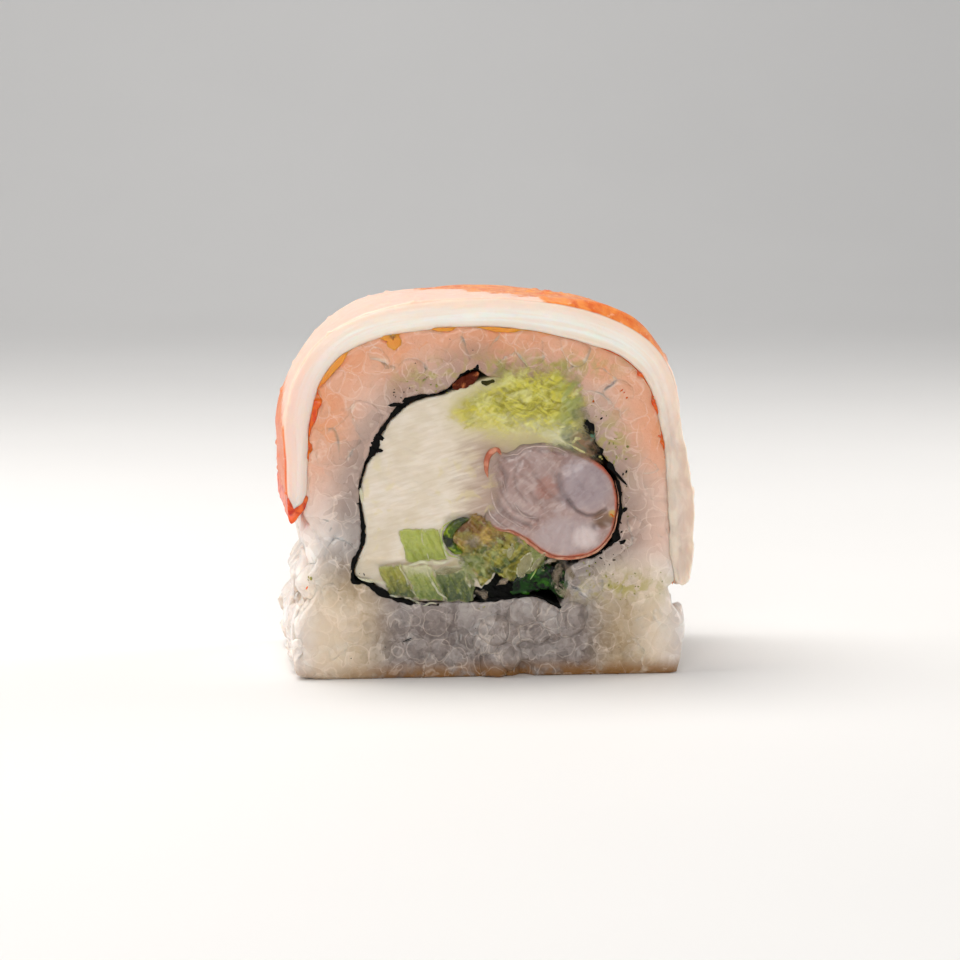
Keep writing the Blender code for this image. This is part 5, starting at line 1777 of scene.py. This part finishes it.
# a pale edge on part of each flake, which fades out elsewhere
def shardMaterial(name, dark, light, edge, fade=0.3):
    f = Finish(name, wetFood(0.5, 0.5, 0.6, (0.8, 0.95, 0.6), 0.2))
    cloud, rim = f.noise(0.6, 4, None, 0.8), f.attribute("rim")
    f.colour = f.mix(f.attribute("tone") * 0.7 + f.step(cloud, 0.36, 0.64) * 0.4, dark, light)
    f.colour = f.mix(f.step(rim, 0.74, 0.9) * f.step(cloud, 0.42, 0.52) * 0.75, f.colour, edge)
    solid = (1 - f.step(rim + (f.noise(0.45, 4) - 0.5) * (2.0 - fade * 1.4), fade, 1.0)) * 0.75
    return f.surface(0.24, f.noise(0.35, 3), 0.00015, 0.7, solid)


oliveShard = shardMaterial("olive scrap", tint(84, 52, 8), tint(168, 156, 60), tint(200, 190, 110))
paleShard = shardMaterial("leaf shard", tint(74, 96, 14), tint(176, 180, 108), tint(216, 218, 150))
greyShard = shardMaterial("grey shard", tint(104, 88, 66), tint(172, 154, 128), tint(226, 212, 180))
darkShard = shardMaterial("dark shard", tint(4, 24, 2), tint(30, 84, 6), tint(60, 108, 24))
flakePiece("oliveFlakes", oliveFlakes, shards, oliveShard)
flakePiece("leafShards", paleFlakes, shards, paleShard)
flakePiece("greyShards", greyShardFlakes, shards, greyShard)
clearShard = shardMaterial("clear shard", tint(128, 118, 80), tint(164, 158, 118), tint(236, 232, 196), 0.8)
clearShards = {"rings": 10, "columns": 32, "ragged": 0.3, "bend": 0.1, "depth": 0.1, "seed": 8}
flakePiece("clearShards", clearFlakes, clearShards, clearShard)
flakePiece("darkShards", darkShardFlakes, shards, darkShard)

# bright rim of the curl, and of the shard at the right
leafEdgePaths = [
    [(-2.6, 11.5, 0.04), (-3.8, 11.9, 0.08), (-4.65, 13.2, 0.08), (-4.4, 14.6, 0.07), (-3.4, 15.4, 0.04)],
    [(5.3, 12.0, 0.05), (4.9, 11.2, 0.1), (4.3, 10.1, 0.1), (3.9, 9.4, 0.06)],
]
leafEdges = {"steps": 50, "columns": 8, "blunt": 3.0, "wobble": 0.1, "depth": 0.6, "lift": 0.06}
paleGreen = filmMaterial("pale leaf edge", tint(206, 206, 130), tint(158, 172, 78))
threadPiece("leafEdges", leafEdgePaths, leafEdges, paleGreen)

# slivers of seaweed beside its edge; the last two are black painted shadow in the slits of the rice
splinterAndSlitShadowFlakes = [
    (12.35, 19.45, 1.1, 0.14, -49, 0.04), (13.1, 16.1, 0.32, 0.16, 50, 0.04),
    (12.9, 12.9, 0.3, 0.18, 10, 0.04), (-10.45, 23.3, 0.4, 0.2, -20, 0.0),
    (-10.55, 22.0, 0.42, 0.2, 16, 0.0), (-8.9, 26.4, 0.6, 0.2, 5, 0.0),
    # painted shadow: black flakes in the two slits of the rice
    (-0.15, 5.2, 0.45, 0.08, 4, 0.4), (-7.9, 3.75, 0.45, 0.06, 24, 0.06),
]
splinterAndSlitShapes = {"rings": 8, "columns": 20, "ragged": 0.5, "bend": 0.05, "depth": 0.1, "seed": 4}
flakePiece("noriSplintersAndSlitShadows", splinterAndSlitShadowFlakes, splinterAndSlitShapes, noriBlack)

# pale strand from the avocado to the seaweed, and scraps of mash at its rim
mashBoxes = [(8, -3.0, 0.6, 24.0, 27.4, 0.4, 0.9, 20), (16, 0.6, 9.0, 22.4, 29.2, 0.4, 1.0, 24)]
mashFlakes = flakeSpots(flakeRandom, mashBoxes, avocadoRim) + [(8.3, 22.1, 1.5, 0.14, -28, 0.2)]
mash = {"rings": 8, "columns": 20, "ragged": 0.5, "bend": 0.2, "depth": 0.2, "seed": 6}
paleMash = shardMaterial("avocado scrap", tint(170, 160, 56), tint(212, 208, 148), tint(222, 218, 168))
flakePiece("avocadoScraps", mashFlakes, mash, paleMash)

print("crumbs")


# places strewn at random in boxes: count, x from and to, z from and to, smallest and largest size
def crumbSpots(random, boxes):
    spots = []
    for count, x0, x1, z0, z1, small, large in boxes:
        size = small + (large - small) * random.random(count) ** 2
        x, z = random.uniform(x0, x1, count), random.uniform(z0, z1, count)
        spots.append(np.column_stack([x, z, size]))
    return np.vstack(spots)


# each crumb of its own tone between two tints
def crumbMaterial(name, light, dark):
    f = Finish(name, wetFood(0.3, 0.5, 0.4, (0.8, 0.9, 0.5), 0.3))
    f.colour = f.mix(f.attribute("tone") * 0.6 + f.noise(0.5, 3) * 0.4, dark, light)
    return f.surface(None, f.noise(0.2, 2))


crumbs = {"rings": 6, "columns": 8, "depth": 0.5, "lift": 0.0, "seed": 23}
crumbRandom = np.random.default_rng(29)
greenBoxes = [
    (16, 9.6, 17.0, 7.2, 10.0, 0.04, 0.14), (3, 14.0, 14.9, 8.0, 8.6, 0.08, 0.24),
    (3, -17.4, -16.8, 9.6, 10.3, 0.06, 0.18), (14, -8.5, -3.8, 27.4, 29.0, 0.04, 0.16),
    (18, 10.6, 13.4, 20.3, 23.6, 0.05, 0.18), (9, 12.6, 13.6, 10.8, 18.6, 0.04, 0.12),
    (8, 8.0, 12.0, 9.4, 11.6, 0.05, 0.14), (6, 9.6, 11.4, 24.2, 26.6, 0.05, 0.12),
    (5, -1.5, 6.0, 6.4, 7.2, 0.06, 0.14),
]
greenCrumbs = crumbMaterial("green crumbs", tint(182, 174, 96), tint(84, 90, 26))
crumbPiece("greenCrumbs", crumbSpots(crumbRandom, greenBoxes), crumbs, greenCrumbs)
darkBoxes = [
    (14, 12.5, 13.3, 11.6, 20.0, 0.04, 0.13), (10, 8.8, 11.2, 21.6, 25.6, 0.06, 0.2),
    (10, 8.0, 12.4, 10.4, 11.9, 0.04, 0.13), (8, -9.6, -7.4, 26.4, 28.0, 0.04, 0.12),
    (7, -14.0, 14.0, 1.6, 7.0, 0.03, 0.08), (6, -8.0, 8.0, 29.6, 33.0, 0.03, 0.06),
    (8, -13.2, -12.0, 9.0, 17.0, 0.04, 0.1),
]
crumbPiece("darkCrumbs", crumbSpots(crumbRandom, darkBoxes), crumbs, noriBlack)
orangeBoxes = [
    (3, 9.9, 10.6, 26.2, 27.0, 0.05, 0.16), (3, 12.5, 13.4, 26.8, 27.6, 0.05, 0.16),
    (2, 15.5, 16.0, 25.8, 27.2, 0.08, 0.2), (2, 16.2, 16.7, 22.2, 23.2, 0.07, 0.16),
    (1, -17.6, -17.4, 8.9, 9.1, 0.14, 0.15), (4, 11.5, 12.1, 15.3, 16.0, 0.07, 0.17),
]
crumbPiece("orangeCrumbs", crumbSpots(crumbRandom, orangeBoxes), crumbs, orangeFilm)
tealBoxes = [(5, 9.8, 10.3, 22.8, 23.6, 0.1, 0.26)]
tealCrumbs = crumbMaterial("teal crumbs", tint(96, 140, 110), tint(44, 84, 62))
crumbPiece("tealCrumbs", crumbSpots(crumbRandom, tealBoxes), crumbs, tealCrumbs)

print("camera, light and floor")

# angles in degrees, lengths in millimetres, but near and far, where the view begins and ends, in metres
camera = {
    "azimuth": -6.0, "elevation": 6.5, "distance": 288.0, "aim": (-0.9, -12.0, 19.1),
    "lens": 113.0, "sensor": 36.0, "near": 0.01, "far": 20.0,
}
cameraData = bpy.data.cameras.new("camera")
cameraObject = bpy.data.objects.new("camera", cameraData)
bpy.context.scene.collection.objects.link(cameraObject)
turn, rise = math.radians(camera["azimuth"]), math.radians(camera["elevation"])
back = Vector((math.sin(turn) * math.cos(rise), -math.cos(turn) * math.cos(rise), math.sin(rise)))
cameraObject.location = (Vector(camera["aim"]) + back * camera["distance"]) * mm
cameraObject.rotation_euler = back.to_track_quat("Z", "Y").to_euler()
cameraData.lens = camera["lens"]
cameraData.sensor_width = camera["sensor"]
cameraData.clip_start = camera["near"]
cameraData.clip_end = camera["far"]
bpy.context.scene.camera = cameraObject

# soft round lights: name, place, what it faces and size in mm, watts, colour
sliceAim, wallAim = (0.0, 0.0, 18.0), (0.0, 900.0, 250.0)
lights = [
    ("keyLight", (-120.0, 60.0, 330.0), sliceAim, 260.0, 0.96, (1.0, 0.97, 0.94)),
    ("leftLight", (-330.0, 90.0, 120.0), sliceAim, 200.0, 0.42, (1.0, 0.97, 0.94)),
    ("rightLight", (330.0, 110.0, 130.0), sliceAim, 200.0, 0.55, (1.0, 0.97, 0.94)),
    ("frontLight", (-60.0, -420.0, 200.0), sliceAim, 300.0, 0.78, (1.0, 0.98, 0.96)),
    ("wallLight", (0.0, 420.0, 700.0), wallAim, 400.0, 1.3, (1.0, 0.99, 0.98)),
]
for name, place, aim, size, power, colour in lights:
    data = bpy.data.lights.new(name, "AREA")
    data.shape = "DISK"
    data.size = size * mm
    data.energy = power
    data.color = colour
    light = bpy.data.objects.new(name, data)
    light.location = Vector(place) * mm
    light.rotation_euler = (Vector(place) - Vector(aim)).to_track_quat("Z", "Y").to_euler()
    bpy.context.scene.collection.objects.link(light)

world = bpy.data.worlds.new("studio")
world.use_nodes = True
background = world.node_tree.nodes["Background"]
background.inputs["Color"].default_value = (0.86, 0.87, 0.90, 1.0)
background.inputs["Strength"].default_value = 0.32
bpy.context.scene.world = world
bpy.context.scene.view_settings.view_transform = "Standard"


# in millimetres; front and back say how far its flat part goes
studioFloor = {"half": 1600.0, "front": -900.0, "back": 500.0, "radius": 400.0, "wall": 1400.0, "steps": 24}


# the floor sweeps up behind into a wall: a line with a quarter round carried along X
def makeFloor():
    bend = np.linspace(0, math.pi / 2, studioFloor["steps"])
    radius, depth, half = studioFloor["radius"], studioFloor["back"], studioFloor["half"]
    y = np.concatenate([[studioFloor["front"]], depth + radius * np.sin(bend), [depth + radius]])
    z = np.concatenate([[0.0], radius - radius * np.cos(bend), [studioFloor["wall"]]])
    points = np.stack([np.repeat([-half, half], len(y)), np.tile(y, 2), np.tile(z, 2)], axis=1)
    step = np.arange(len(y) - 1)
    faces = np.stack([step, step + len(y), step + len(y) + 1, step + 1], axis=1)
    mesh = bpy.data.meshes.new("studioFloor")
    mesh.from_pydata((points * mm).tolist(), [], faces.tolist())
    mesh.shade_smooth()
    f = Finish("floor", {"Roughness": 0.6})
    f.colour = f.mix(f.noise(60.0, 2), tint(232, 231, 229), tint(236, 235, 233))
    mesh.materials.append(f.surface())
    floor = bpy.data.objects.new("studioFloor", mesh)
    bpy.context.scene.collection.objects.link(floor)


makeFloor()
